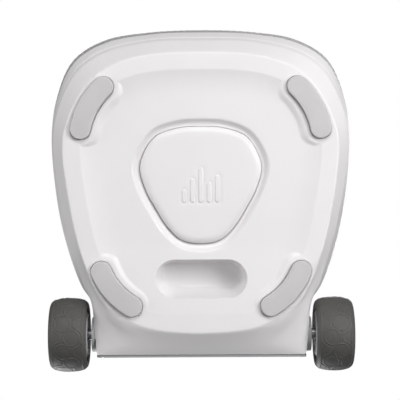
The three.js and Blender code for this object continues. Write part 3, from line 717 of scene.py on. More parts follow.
def softened_corners(outline, share):
    """The outline with its rear corners rounded off, most of all halfway between ring and wall."""
    reach = round(CORNER_REACH * 4 * share * (1 - share))
    window = [np.roll(outline, shift, axis=0) for shift in range(-reach, reach + 1)]
    return mix(outline, np.mean(window, axis=0), ramp(outline[:, 1], *CORNER_ZONE)[:, None])


def pan_underside(points):
    """Height of the pan's lower face over each point."""
    floor = mix(RING_Z, FLOOR_Z, recess_share(points))
    away = -inside_distance(points, COVER_LINE)
    dish = DISH_Z - (DISH_Z - FLOOR_Z) * (np.maximum(away - DISH_START, 0) / DISH_WIDTH) ** 2
    joined = (floor + dish + np.sqrt((floor - dish) ** 2 + DISH_BLEND)) / 2
    low = mix(np.where(away < DISH_REACH, joined, floor), GRIP_ROOF, pocket_share(points))
    lip_height, lip_width = SEAT_LIP
    for seat in SEAT_LINES:
        depth = inside_distance(points, seat)
        lip = low + lip_height * np.clip(1 + depth / lip_width, 0, 1) ** 2
        low = np.where(depth > ON_LINE, FOOT_TOP + GAP, lip)
    return np.where(inside_distance(points, RING_EDGE) < ON_LINE, RING_Z, low)


def pan_detail(points):
    """Where the pan's sheet needs closely spaced points: where it bends, in dish and pocket, at feet."""
    bend_reach, margin = 8, 2
    close = np.abs(inside_distance(points, RING_LINE) - RECESS_SLOPE[0]) < bend_reach
    close |= inside_distance(points, GRIP_LINE) > -margin
    close |= inside_distance(points, COVER_LINE) > -(DISH_LINE + margin)
    for seat in SEAT_LINES:
        close |= inside_distance(points, seat) > -(BOSS_SLOPE[1] + margin)
    return close


def pan_sheet():
    """Ring, floor, dish and pocket: a sheet with two sides, closed round the cover's hole."""
    lines = [grown(GRIP_LINE, 0.5), grown(GRIP_LINE, -0.2), grown(COVER_LINE, DISH_LINE)]
    for seat in SEAT_LINES:
        lines += [grown(seat, SEAT_LIP[1]), seat, grown(seat, -0.05)]
    hole = grown(COVER_LINE, COVER_GAP)
    points, faces = plan_mesh(RING_EDGE, [hole], lines, PAN_STEP, pan_detail)
    faces = faces.tolist()
    away = -inside_distance(points, COVER_LINE)
    high = np.where(away < DISH_RIM, DISH_TOP, SHEET_TOP)
    high = np.where(inside_distance(points, GRIP_LINE) > -PAN_WALL, GRIP_ROOF + PAN_WALL, high)
    at_hole = away < 2 * COVER_GAP
    rim = [(a, b) for a, b in boundary_edges(faces) if at_hole[a] and at_hole[b]]
    lower = np.column_stack([points, pan_underside(points)])
    return two_sided(lower, np.column_stack([points, high]), faces, rim)


def pan_skirt():
    """Soft edge, bevel and wall outside, and the hidden inner side that leads back to the sheet."""
    rows = [(RING_EDGE, RING_Z)]
    edge_end = mix(RING_LINE, BEVEL_LINE, EDGE_SHARE)
    for t in np.linspace(0, 1, 6)[1:]:
        outline = (1 - t) ** 2 * RING_EDGE + 2 * t * (1 - t) * RING_LINE + t**2 * edge_end
        rows.append((outline, mix(RING_Z, BEVEL_Z, t**2 * EDGE_SHARE)))
    for share in np.linspace(EDGE_SHARE, 1, 12)[1:]:
        outline = softened_corners(mix(RING_LINE, BEVEL_LINE, share), share)
        rows.append((outline, mix(RING_Z, BEVEL_Z, share)))
    for z in np.linspace(BEVEL_Z, PAN_TOP, 4)[1:]:
        rows.append((wall_at(z), z))
    rows += [
        (inset(wall_at(PAN_TOP), PAN_WALL), PAN_TOP),
        (mix(RING_LINE, BEVEL_LINE, 0.5), BEVEL_Z - PAN_WALL),
        (RING_EDGE, SHEET_TOP),
    ]
    return loft(rows, "open")


def base_pan():
    """One moulding: the pan's underside and the bevel and wall round it."""
    show("base_pan", together(pan_sheet(), pan_skirt()), sharp=40)


# ---------------------------------------------------------------- centre cover and feet

COVER_LOW = 8.5
COVER_TOP = 24
DOME_WIDTH = 12
DOME_RISE = 3.4
DOME_POWER = 4  # how sharply the dome turns down at its edge
MARK_Y = -15.5
MARK_BARS = (14, 26, 38, 22, 30)
MARK_PITCH = 9
MARK_WIDTH = 5
MARK_PROUD = 0.8
MARK_HOLLOW = 0.35  # how far the face is sunk round the bars
HOLLOW_SLOPE = (4, 0.5)  # distances from a bar between which it sinks
COVER_EDGE = (0.5, 0.15)  # insets of the soft edge's start and middle
COVER_EDGE_Z = (0.35, 1)  # heights of its middle and end above its start
COVER_STEP = 1.1  # between the cover's points where it has detail
FOOT_ROUND = (1.4, 1.3)  # width and height of the rounding below each foot
FOOT_CHAMFER = 0.4


def mark_outlines():
    """Five upright bars of different heights, standing on one line."""
    bars = []
    base = MARK_Y + max(MARK_BARS) / 2
    for i, height in enumerate(MARK_BARS):
        upright = stadium(height / 2, -MARK_WIDTH / 2, MARK_WIDTH / 2, 10)
        x = (i - (len(MARK_BARS) - 1) / 2) * MARK_PITCH
        turned_bar = np.column_stack([-upright[:, 1], upright[:, 0]])
        bars.append(turned_bar + (x, base - height / 2))
    return bars


def dome(depth):
    """Height of the cover's lower face at a distance inside its outline, without the mark."""
    return COVER_LOW + DOME_RISE * np.clip(1 - depth / DOME_WIDTH, 0, 1) ** DOME_POWER


def base_cover():
    cover = respaced(smooth_outline(COVER_HALF), 1)
    start = grown(cover, -COVER_EDGE[0])
    bars = mark_outlines()
    lines = [line for bar in bars for line in (bar, grown(bar, -0.7))]

    def wants_detail(points):
        close = inside_distance(points, cover) < DOME_WIDTH + 1
        for bar in bars:
            close |= inside_distance(points, bar) > -HOLLOW_SLOPE[0]
        return close

    points, faces = plan_mesh(start, [], lines, COVER_STEP, wants_detail)
    low = dome(inside_distance(points, cover))
    nearest = np.max([inside_distance(points, bar) for bar in bars], axis=0)
    low += MARK_HOLLOW * ramp(nearest, *(-distance for distance in HOLLOW_SLOPE))
    low -= (MARK_PROUD + MARK_HOLLOW) * ramp(nearest, -0.05, 0.65)
    rim = dome(COVER_EDGE[0])
    low = np.where(inside_distance(points, start) < ON_LINE, rim, low)
    sheet = (np.column_stack([points, low]), [tuple(face) for face in faces.tolist()])
    middle_z, end_z = COVER_EDGE_Z
    edge = [(start, rim), (grown(cover, -COVER_EDGE[1]), rim + middle_z), (cover, rim + end_z)]
    skirt = loft([*edge, (cover, COVER_TOP)], "open")
    count = len(cover)
    lid = (np.column_stack([cover, np.full(count, float(COVER_TOP))]), [tuple(range(count))])
    show("base_cover", together(sheet, skirt, lid), sharp=45)


def feet():
    """Four rubber feet, rounded where they meet the ground."""
    width, height = FOOT_ROUND
    for end, spine in FOOT_SPINES.items():
        for side_name, side in (("left", 1), ("right", -1)):
            outline = foot_outline(spine, side, FOOT_R)
            levels = []
            for turn in np.linspace(0, math.pi / 2, 7):
                back = width * (1 - math.sin(turn))
                levels.append((grown(outline, -back), height * (1 - math.cos(turn))))
            levels += [(outline, FOOT_TOP - FOOT_CHAMFER), (grown(outline, -FOOT_CHAMFER), FOOT_TOP)]
            show(f"foot_{end}_{side_name}", loft(levels))


# ---------------------------------------------------------------- cabinet and grille

GRILLE_Z = (46, 592)
GRILLE_BACK_Y = -62
GRILLE_THICK = 1.6
GRILLE_SEAT = 3
GRILLE_RIM = 3
PITCH = 7.5  # spacing of the grille's holes
HOLE_R = 3  # corner radius of a six-sided hole
BLOCK_R = 19.5
BLOCK_END_Y = 168
BLOCK_HOLE_X = (85, 145)  # where the hole for a block runs through the cabinet's side
BAND_COLUMNS = 360
BEND = 0.7  # half the height over which the wall bends at knee and flare
LINING = (1.9, 2.6)  # depths of the lining's two faces below the wall
LINING_EDGE = 1
BAFFLE_OPENING = ((-112, 112), (-220, -120), (80, 580))
REAR_OPENING = ((-104, 104), (150, 190), (45, 588))


def front_line(outline, back_y, share):
    """Points on the part of an outline in front of a plane; share runs from left to right."""
    turned_outline = np.roll(outline, -int(np.argmax(outline[:, 1])), axis=0)
    ahead = np.flatnonzero(turned_outline[:, 1] < back_y)
    line = turned_outline[ahead[0] - 1:ahead[-1] + 2]
    for end, beside in ((0, 1), (-1, -2)):
        a, b = line[end], line[beside]
        line[end] = a + (b - a) * (back_y - a[1]) / (b[1] - a[1])
    along = np.concatenate([[0], np.cumsum(np.linalg.norm(np.diff(line, axis=0), axis=1))])
    at = share * along[-1]
    return np.stack([np.interp(at, along, line[:, k]) for k in (0, 1)], axis=1)


def front_band(outer, inner, low, high, back_y):
    """Solid band round the front of the wall, between two offsets from it."""
    share = np.linspace(0, 1, BAND_COLUMNS)
    levels = []
    for z in (low, FLARE_Z, high):
        outside = front_line(grown(wall_at(z), outer), back_y, share)
        inside = front_line(grown(wall_at(z), inner), back_y, share)
        levels.append((np.concatenate([outside, inside[::-1]]), z))
    return loft(levels)


def block_outline(radius, end_y):
    """Circle round the wheels' axis in Y and Z, cut flat at the back."""
    _, y, z = node_middle("wheel_axle")
    turn = np.linspace(0, math.tau, 96, endpoint=False)
    return np.column_stack([np.minimum(y + radius * np.cos(turn), end_y), z + radius * np.sin(turn)])


def axle_holes():
    circle = block_outline(BLOCK_R + GAP, BLOCK_END_Y + GAP)
    return [along_x(loft([(circle, x) for x in BLOCK_HOLE_X]), side) for side in SIDES.values()]


def cabinet_shell():
    foot = PAN_TOP + GAP
    bends = [middle + shift for middle in (KNEE_Z, FLARE_Z) for shift in (-BEND, 0, BEND)]
    heights = sorted([foot + 0.2, 35, 40, 50, 56, *bends, SHELL_TOP - 0.5])
    rows = [(inset(wall_at(foot), 0.15), foot)]
    rows += [(wall_at(z), z) for z in heights]
    rows += [(inset(WALL_LINE, 0.4), SHELL_TOP)]
    rows += [(inset(WALL_LINE, WALL), SHELL_TOP), (inset(WALL_LINE, WALL), FLARE_Z)]
    rows += [(inset(wall_at(PAN_TOP), WALL), foot)]
    low, high = GRILLE_Z
    seat = front_band(2, -GRILLE_SEAT, low - GAP, high + GAP, GRILLE_BACK_Y + GAP)
    tools = [seat, brick(*BAFFLE_OPENING), brick(*REAR_OPENING), *axle_holes()]
    show("cabinet_shell", loft(rows, "joined"), tools, sharp=30)


def hexagon_cell(centre, radius):
    turn = math.pi / 6 + np.arange(6) * math.pi / 3
    return centre + radius * np.column_stack([np.cos(turn), np.sin(turn)])


def honeycomb(length, low, high):
    """Flat sheet between two heights, with six-sided holes: points (along, z) and faces."""
    corner_r = PITCH / math.sqrt(3)
    rows = math.ceil((high - low) / (1.5 * corner_r)) + 2
    columns = math.ceil(length / PITCH) + 2
    keys, points, faces = {}, [], []

    def vertex(u, z):
        u, z = min(max(u, 0), length), min(max(z, low), high)
        key = (round(u, 3), round(z, 3))
        if key not in keys:
            keys[key] = len(points)
            points.append(key)
        return keys[key]

    for row in range(rows):
        z = low + (row - 0.5) * 1.5 * corner_r
        for column in range(columns):
            u = length / 2 + (column - columns // 2 + (row % 2) / 2) * PITCH
            outer = [vertex(*p) for p in hexagon_cell(np.array([u, z]), corner_r)]
            rim = min(u, length - u, z - low, high - z) - HOLE_R
            if rim < GRILLE_RIM:
                loop = [v for i, v in enumerate(outer) if v != outer[i - 1]]
                if len(loop) > 2:
                    faces.append(tuple(loop))
                continue
            inner = [vertex(*p) for p in hexagon_cell(np.array([u, z]), HOLE_R)]
            for i in range(6):
                j = (i + 1) % 6
                faces.append((outer[i], outer[j], inner[j], inner[i]))
    points = np.array(points)
    return points, [face for face in faces if spans_area(points[list(face)])]


def front_grille():
    """The perforated sheet, bent round the front."""
    low, high = GRILLE_Z
    samples = 2000
    edge = front_line(WALL_LINE, GRILLE_BACK_Y, np.linspace(0, 1, samples))
    length = np.linalg.norm(np.diff(edge, axis=0), axis=1).sum()
    points, faces = honeycomb(length, low, high)
    share = points[:, 0] / length
    upright = np.clip((points[:, 1] - low) / (FLARE_Z - low), 0, 1)[:, None]
    sides = []
    for offset in (0, -GRILLE_THICK):
        ends = [grown(outline, offset) for outline in (wall_at(low), WALL_LINE)]
        foot, wall = (front_line(outline, GRILLE_BACK_Y, share) for outline in ends)
        sides.append(np.column_stack([mix(foot, wall, upright), points[:, 1]]))
    show("front_grille", two_sided(*sides, faces, boundary_edges(faces)), sharp=30)


def spans_area(corners):
    x, y = corners[:, 0], corners[:, 1]
    return abs((x * np.roll(y, -1) - y * np.roll(x, -1)).sum()) > 1e-3


def grille_lining():
    """Thin black backing between grille and cabinet wall, open in front of the baffle."""
    low, high = (z + shift for z, shift in zip(GRILLE_Z, (LINING_EDGE, -LINING_EDGE)))
    outer, inner = LINING
    sheet = front_band(-outer, -inner, low, high, GRILLE_BACK_Y - LINING_EDGE)
    obj = plain_object("grille_lining", sheet)
    x, y, z = BAFFLE_OPENING
    across, upwards = ((span[0] + LINING_EDGE, span[1] - LINING_EDGE) for span in (x, z))
    carve(obj, brick(across, y, upwards))
    dress(obj, BODY_OF["front_grille"], "black_rubber")


# ---------------------------------------------------------------- top cap, deck and buttons

CAP_TOP = 660
CAP_ROUND_Z = 628  # height where the rounding of the cap's edge starts
CAP_ROUND = 20  # its width
CAP_HOLLOW_Z = (630, 651)  # the same for the hollow inside: its rounding's start and end
CAP_HOLLOW_ROUND = 26
TUB_X = 92  # the tub takes the handle's grip
TUB_Y = (106, 160)
TUB_FLOOR = 606
TUB_WALL = 3
DECK_LOW = (-106, -128)
DECK_HIGH = (106, -46)
DECK_FLOOR = 656
BUTTON_R = 11
STEM_R = 4
STEM_TOP = 650
SIGN_PROUD = 0.4


def deck_outline(grow):
    low = (DECK_LOW[0] - grow, DECK_LOW[1] - grow)
    high = (DECK_HIGH[0] + grow, DECK_HIGH[1] + grow)
    return rounded_rectangle(low, high, 16 + grow, 12)


def button_names():
    return [node for node in frame["nodes"] if node.endswith("_button") and node != "release_button"]


def button_holes():
    holes = []
    for node in button_names():
        x, y, _ = node_middle(node)
        holes.append(moved(rod(BUTTON_R + GAP, 640, CAP_TOP + 10), x, y))
    return holes


def handle_tub():
    """Walls and floor of the handle's tub, and the space in it."""
    front, back = TUB_Y
    outside_x = (-TUB_X - TUB_WALL, TUB_X + TUB_WALL)
    walls = brick(outside_x, (front - TUB_WALL, back + TUB_WALL), (TUB_FLOOR - 4, CAP_HOLLOW_Z[1] + 1))
    outline = rounded_rectangle((-TUB_X, front), (TUB_X, back), 6)
    return walls, loft([(outline, TUB_FLOOR), (outline, CAP_TOP + 5)])


def top_cap():
    low = SHELL_TOP + GAP
    rows = [(inset(WALL_LINE, 0.4), low), (WALL_LINE, low + 0.5), (WALL_LINE, CAP_ROUND_Z)]
    for turn in np.linspace(0, math.pi / 2, 14)[1:]:
        back = CAP_ROUND * (1 - math.cos(turn)) ** 1.15
        rows.append((inset(WALL_LINE, back), mix(CAP_ROUND_Z, CAP_TOP, math.sin(turn))))
    inner = inset(WALL_LINE, WALL)
    round_low, round_high = CAP_HOLLOW_Z
    hollow = [(inner, low - 2), (inner, round_low), (inset(WALL_LINE, CAP_HOLLOW_ROUND), round_high)]
    walls, space = handle_tub()
    seat = loft([(deck_outline(GAP), DECK_FLOOR), (deck_outline(GAP), CAP_TOP + 5)])
    tools = [space, seat]
    for side_name in SIDES:
        x, y, _ = node_middle(f"handle_tube_{side_name}")
        tools.append(moved(rod(TUBE_R + GAP, TUB_FLOOR - 10, TUB_FLOOR + 10), x, y))
    obj = plain_object("top_cap_smooth", loft(rows))
    carve(obj, loft(hollow))
    combine(obj, "UNION", walls)
    carve(obj, *tools, *button_holes())
    dress(obj, BODY_OF["top_cap"], SLOT_OF["top_cap"], ["top_cap"], sharp=30)


def control_deck():
    low, high = node_box("control_deck")
    deck = plate(deck_outline(0), low[2], high[2], 0, 0.6)
    show("control_deck", deck, button_holes())


def bar(width, height, radius):
    """Small upright rounded rectangle centred on the origin."""
    return rounded_rectangle((-width / 2, -height / 2), (width / 2, height / 2), radius, 4)


def unit_arc(first_degree, last_degree, steps, closing=True):
    turn = np.radians(np.linspace(first_degree, last_degree, steps, closing))
    return np.column_stack([np.cos(turn), np.sin(turn)])


def button_signs():
    """Outlines of the raised sign on each button, centred on it."""
    ring = unit_arc(125, 415, 30)
    arc = np.concatenate([4.2 * ring, 3.2 * ring[::-1]])
    triangle = np.array([(-2.6, -3.6), (4, 0), (-2.6, 3.6)])
    link = 1.6 * unit_arc(0, 360, 24, False)
    minus, stroke = bar(7.5, 1.2, 0.5), bar(1.2, 3, 0.5)
    return {
        "power_button": [arc, bar(1, 4.5, 0.4) + (0, 3.4)],
        "pairing_button": [link + (-2.6, 0), link + (2.6, 0), bar(3, 0.9, 0.3)],
        "volume_down_button": [minus],
        "play_button": [triangle],
        "volume_up_button": [minus, stroke + (0, 2.3), stroke - (0, 2.3)],
    }


def push_buttons():
    signs = button_signs()
    for node in button_names():
        x, y, _ = node_middle(node)
        low, high = node_box(node)
        bottom, face = low[2], high[2] - SIGN_PROUD
        profile = [
            (0, bottom), (STEM_R, bottom), (STEM_R, STEM_TOP), (BUTTON_R, STEM_TOP), (BUTTON_R, face),
            (0, face),
        ]
        button = turned(rounded(profile, 0.9), 96)
        levels = (face - SIGN_PROUD, high[2])
        raised = [moved(loft([(outline, z) for z in levels]), x, y) for outline in signs[node]]
        show(node, moved(button, x, y), added=raised)


# ---------------------------------------------------------------- pull handle

GRIP_DEPTH = 13  # half the grip's width
TUBE_END = 658  # where a tube ends inside the grip
TUBE_WALL = 1.5
RELEASE_SEAT_Z = (656, 680)  # from the seat's floor to above the grip
RELEASE = (24, 7)  # half the release button's length and width
RELEASE_CORNER = 5


def release_outline(y, gap):
    half_x, half_y = (half + gap for half in RELEASE)
    return rounded_rectangle((-half_x, y - half_y), (half_x, y + half_y), RELEASE_CORNER)


def handle_grip(x, y):
    low, high = node_box("handle_grip")
    outline = stadium((high[0] - low[0]) / 2, y - GRIP_DEPTH, y + GRIP_DEPTH, 32)
    seat = release_outline(y, GAP)
    tools = [loft([(seat, z) for z in RELEASE_SEAT_Z])]
    for side in SIDES.values():
        tools.append(moved(rod(TUBE_R + GAP, low[2] - 2, TUBE_END + GAP), side * x, y))
    show("handle_grip", plate(outline, low[2], high[2], 3.5, 5), tools)


def release_button(y):
    """Button with five grooves across it."""
    low, high = node_box("release_button")
    pitch, depth = 4, 0.6
    grooves = []
    for i in range(-2, 3):
        groove = bar(1.2, 8, 0.5) + (i * pitch, y)
        grooves.append(loft([(groove, high[2] - depth), (groove, high[2] + 1)]))
    show("release_button", plate(release_outline(y, 0), low[2], high[2], 0, 1.6), grooves)


def handle_tubes(x, y):
    inner = TUBE_R - TUBE_WALL
    for name, side in SIDES.items():
        low, high = (corner[2] for corner in node_box(f"handle_tube_{name}"))
        profile = [(inner, low), (TUBE_R, low), (TUBE_R, high), (inner, high), (inner, low)]
        show(f"handle_tube_{name}", moved(turned(rounded(profile, 0.4), 96), side * x, y))


def handle():
    x, y, _ = node_middle("handle_tube_right")
    handle_grip(x, y)
    release_button(y)
    handle_tubes(x, y)


# ---------------------------------------------------------------- wheels

WHEEL_R = 41
AXLE_R = 6
HUB_HALF = 20.75  # half the hub's width
SLOT_X = (115.3, 117.7)  # drain slot low in the left-hand axle block
SLOT_Y = (3, 14)  # behind the axle
SLOT_Z = (20, 32)
BLOCK_BORE_X = (90, 130)  # the cut for the axle goes right through a block
RIDGE = 0.4  # height of the tread's lines
RIDGE_HALF = 0.5
TYRE_SEGMENTS = 480
CELLS = 16
CELL_SIDE = 5  # how far the cells stand off the tread's middle
CELL_RING = 8.6  # radius of the ring round a cell
CHAIN_RING = 11.8  # radius of the chain line's arcs round the same cells
CHAIN_BLEND = 1.5  # how softly those arcs run into each other
TREAD_EDGE = 16.4  # where a plain line ends the tread on each side


def on_wheel(shape, side_name, side):
    """A turned shape placed on the axle, at the middle of a wheel."""
    return moved(along_x(shape, side), *node_middle(f"wheel_tyre_{side_name}"))


def tread_relief(around, across):
    """Height of the tread's thin raised lines: staggered rings, a chain round them and two edges."""
    length = math.tau * WHEEL_R
    distances = []
    for k in range(CELLS):
        along = (around - k * length / CELLS + length / 2) % length - length / 2
        distances.append(np.hypot(along, across - CELL_SIDE * (1 if k % 2 else -1)))
    distances = np.array(distances)
    chain = -CHAIN_BLEND * np.log(np.exp(-(distances - CHAIN_RING) / CHAIN_BLEND).sum(axis=0))
    lines = [distances.min(axis=0) - CELL_RING, chain, np.abs(across) - TREAD_EDGE]
    return RIDGE * np.max([np.exp(-(line / RIDGE_HALF) ** 2) for line in lines], axis=0)


def tyre(side_name, side):
    crown = WHEEL_R - RIDGE
    half = [
        (crown, 0), (crown - 0.1, 5), (crown - 0.6, 9.5), (crown - 1.5, 13.5), (38, 17), (36.2, 19.4),
        (34.6, 20.4), (33, 20.7), (31.6, 20), (31, 18.75),
    ]
    shoulder = 37
    profile = curve_through([(r, -z) for r, z in reversed(half)] + half[1:], False, 11)
    vertices, faces = turned(np.concatenate([profile, profile[:1]]), TYRE_SEGMENTS)
    radius, angle = polar(vertices)
    lift = np.where(radius > shoulder, tread_relief(angle * WHEEL_R, vertices[:, 2]), 0)
    vertices[:, :2] *= (1 + lift / radius)[:, None]
    show(f"wheel_tyre_{side_name}", on_wheel((vertices, faces), side_name, side), sharp=50)


def hub(side_name, side):
    """Hub with eight shallow pockets between its spokes on the inner side."""
    inner, outer = -HUB_HALF, HUB_HALF
    profile = [
        (9, inner + 1), (22, inner - 0.5), (25, inner + 2), (30.7, inner + 3.3), (30.7, outer - 3.3),
        (27, outer - 3.3), (24, outer - 16), (14, outer - 16), (14, outer - 12), (9, outer - 12),
        (9, inner + 1),
    ]
    vertices, faces = turned(smooth_profile(rounded(profile, 0.9), 0.8), 240)
    radius, angle = polar(vertices)
    count, depth = 8, 2.5
    aside = np.abs((angle / math.tau * count) % 1 - 0.5) * radius * math.tau / count
    ring = ramp(radius, 10.5, 12) * ramp(-radius, -21, -19.5)
    pocket = ring * ramp(-aside, -radius * 0.3, -radius * 0.2)
    vertices[:, 2] += np.where(vertices[:, 2] < inner + 4, depth * pocket, 0)
    show(f"wheel_hub_{side_name}", on_wheel((vertices, faces), side_name, side), sharp=45)


def hub_cap(side_name, side):
    """Cap over the hub's open face, with a ring groove round five shallow dimples."""
    outer = HUB_HALF
    profile = [
        (0, outer - 5), (22, outer - 5), (23.5, outer - 10), (25.1, outer - 10), (26.4, outer - 4),
        (24, outer - 1.2), (0, outer - 0.5),
    ]
    vertices, faces = turned(smooth_profile(rounded(profile, 1.2), 0.6), 240)
    radius, angle = polar(vertices)
    count, depth, groove_depth = 5, 1.4, 0.5
    aside = np.abs((angle / math.tau * count) % 1 - 0.5) * math.tau / count * radius
    dimple = ramp(-np.hypot(aside, (radius - 14.5) * 0.8), -5.6, -3.6)
    groove = np.exp(-((radius - 22) / 0.45) ** 2)
    outside = vertices[:, 2] > outer - 3
    vertices[:, 2] -= np.where(outside, depth * dimple + groove_depth * groove, 0)
    show(f"hub_cap_{side_name}", on_wheel((vertices, faces), side_name, side), sharp=45)


def axle_block(side_name, side):
    """Round block that carries the axle, flat at the back, with a softened outer edge."""
    low, high = node_box(f"axle_block_{side_name}")
    near, far = sorted((abs(low[0]), abs(high[0])))
    _, y, z = node_middle("wheel_axle")
    levels = []
    for back, x in ((0, near), (0, far - 1), (0.3, far - 0.3), (1, far)):
        levels.append((block_outline(BLOCK_R - back, BLOCK_END_Y - back), x))
    tools = [moved(along_x(rod(AXLE_R + GAP, *BLOCK_BORE_X), side), 0, y, z)]
    if side_name == "left":
        tools.append(brick((-SLOT_X[1], -SLOT_X[0]), (y + SLOT_Y[0], y + SLOT_Y[1]), SLOT_Z))
    show(f"axle_block_{side_name}", along_x(loft(levels), side), tools)


def axle():
    low, high = node_box("wheel_axle")
    _, y, z = node_middle("wheel_axle")
    profile = rounded([(0, low[0]), (AXLE_R, low[0]), (AXLE_R, high[0]), (0, high[0])], 1)
    show("wheel_axle", moved(along_x(turned(profile, 64)), 0, y, z))


# ---------------------------------------------------------------- loudspeakers


def driver_place(node):
    """Where a driver's axis meets the baffle's front face; its profile runs along Y from there."""
    x, _, z = node_middle(node)
    return x, node_box("front_baffle")[0][1], z


def surround_profile():
    """Half-round rubber roll between cone and frame, with a flat lip on each side."""
    middle, outer, inner = 65, 6.3, 5
    half_turn = np.linspace(0, math.pi, 18)
    roll = [(middle + outer * math.cos(a), -3.2 - outer * math.sin(a)) for a in half_turn]
    under = [(middle + inner * math.cos(a), -2.9 - inner * math.sin(a)) for a in half_turn[::-1]]
    return [(74, -2), (74, -3.3), *roll, (57, -3.3), (57, -2.1), *under, (74, -2)]


def cone_profile():
    """Paper cone with a domed dust cap, a neck and the voice coil's tube."""
    reach, cap_r, cap_y, cap_rise = 1.2, 21, 28, 7.5
    dust_cap = []
    for a in np.linspace(0, reach, 12):
        fall = (math.cos(a) - math.cos(reach)) / (1 - math.cos(reach))
        dust_cap.append((cap_r * math.sin(a) / math.sin(reach), cap_y - cap_rise * fall))
    return [
        *dust_cap, (34, 17.5), (46, 6.5), (56.7, -3.6), (56.7, -1.6), (46, 9), (33, 21), (20, 33),
        (20, 60), (18.6, 60), (18.6, 31), (0, 29.5),
    ]


def woofers():
    frame_profile = [
        (72.5, -GAP), (84, -GAP), (84, -4), (74.5, -4), (74.5, -1.5), (70, -1.5), (66, 6),
        (43, 49), (26, 51), (26, 54.7), (46, 54.7), (46, 50), (69, 4), (72.5, -GAP),
    ]
    magnet_profile = [(0, 56), (17, 56), (17, 82), (21.6, 82), (21.6, 55), (52, 55), (52, 90), (0, 90)]
    ring_profile = [(86, -GAP), (95, -GAP), (95, -4.5), (93.5, -7), (87.5, -7), (86, -4.5), (86, -GAP)]
    parts = {
        "woofer_frame": rounded(frame_profile, 0.8),
        "woofer_surround": surround_profile(),
        "woofer_cone": cone_profile(),
        "woofer_magnet": rounded(magnet_profile, 1),
        "light_ring": rounded(ring_profile, 1),
    }
    for place in ("lower", "upper"):
        at = driver_place(f"woofer_cone_{place}")
        for name, profile in parts.items():
            show(f"{name}_{place}", moved(along_y(turned(profile, 144)), *at), sharp=50)


def tweeters():
    profile = [
        (0, -5), (5, -4.6), (8, -4), (10, -1.5), (13, 0), (18, -0.8), (26, -4), (34, -4), (34, -GAP),
        (22.5, -GAP), (22.5, 16), (0, 16),
    ]
    for side_name in SIDES:
        tweeter = along_y(turned(rounded(profile, 0.9), 112))
        show(f"tweeter_{side_name}", moved(tweeter, *driver_place(f"tweeter_{side_name}")), sharp=45)


# ---------------------------------------------------------------- rear fittings

THROUGH_REAR = (150, 190)  # a cut between these places goes right through the rear panel
SCREW_INSET = (6.5, 9)  # from the rear panel's edges
SCREW_STEPS = (175, 345)  # heights of the middle screws above the panel's lower edge
PORT_R = 33  # the port's inside
PORT_FLARE = 5
KEPT_EDGE = 0.15  # softened edges of the CAD pieces that are kept


def upright_plate(low, high, corner, inner_round, outer_round):
    """Plate that faces the rear, between two opposite corners of its box."""
    outline = rounded_rectangle((low[0], low[2]), (high[0], high[2]), corner)
    return along_y(plate(outline, low[1], high[1], inner_round, outer_round))


def bass_port():
    x, _, z = node_middle("bass_port")
    outside = node_box("bass_port")[1][1] - 3
    mouth = []
    for turn in np.linspace(0, math.pi / 2, 10):
        radius = PORT_R + PORT_FLARE * (1 - math.cos(turn))
        mouth.append((radius, outside - PORT_FLARE + 8 * math.sin(turn)))
    profile = [
        (46, outside + GAP), (46, outside + 2.2), *reversed(mouth), (PORT_R, 72), (34.5, 65), (38, 60.2),
        (37.5, 64), (36, 70), (36, outside + GAP), (46, outside + GAP),
    ]
    show("bass_port", moved(along_y(turned(profile, 144)), x, 0, z), sharp=50)


def fluted(shape, count, depth, low, high):
    """Fine grooves along a turned shape's side, outside its spindle, between two heights."""
    vertices, faces = shape
    radius, angle = polar(vertices)
    spindle = 7
    outside = (vertices[:, 2] > low) & (vertices[:, 2] < high) & (radius > spindle)
    cut = np.where(outside, depth * (0.5 + 0.5 * np.cos(angle * count)), 0)
    vertices[:, :2] *= (1 - cut / np.maximum(radius, 1))[:, None]
    return vertices, faces


def gain_knobs():
    for side_name in SIDES:
        node = f"gain_knob_{side_name}"
        x, _, z = node_middle(node)
        inner, outer = (corner[1] for corner in node_box(node))
        back = inner + 8
        profile = [
            (0, inner), (3, inner), (3, back + GAP), (8.5, back + GAP), (8, outer), (0, outer),
        ]
        plain = turned(smooth_profile(rounded(profile, 0.6), 1.2), 216)
        knob = fluted(plain, 18, 0.5, back + 1.5, outer - 0.9)
        pointer = brick((-0.7, 0.7), (2, 9), (outer - 1.2, outer + 1))
        show(node, moved(along_y(knob), x, 0, z), [moved(along_y(pointer), x, 0, z)])


def splash_flap():
    """Flap with round corners and a finger tab at its lower edge."""
    low, high = node_box("splash_flap")
    thick, tab_half, tab_height, tab_reach = 2.4, 9, 9, 3
    inner_edge, outer_edge = 0.3, 0.9
    body = upright_plate(
        low + (0, 0, tab_reach), (high[0], low[1] + thick, high[2]), 5, inner_edge, outer_edge
    )
    tab = upright_plate(
        (-tab_half, low[1], low[2]), (tab_half, high[1], low[2] + tab_height), 2.5, inner_edge, outer_edge
    )
    show("splash_flap", body, added=[tab])


def battery_door():
    """Door with a round finger notch at its upper edge and five grooves below it."""
    low, high = node_box("battery_door")
    notch_r, notch_rise, first_groove, groove_pitch, groove_depth = 11, 4.3, 22, 6, 0.6
    tools = [moved(along_y(rod(notch_r, *THROUGH_REAR)), 0, 0, high[2] + notch_rise)]
    for i in range(5):
        groove = bar(30, 1.6, 0.7) + (0, high[2] - first_groove - groove_pitch * i)
        tools.append(along_y(loft([(groove, high[1] - groove_depth), (groove, high[1] + 5)])))
    show("battery_door", upright_plate(low, high, 1.5, 0.3, 0.7), tools)


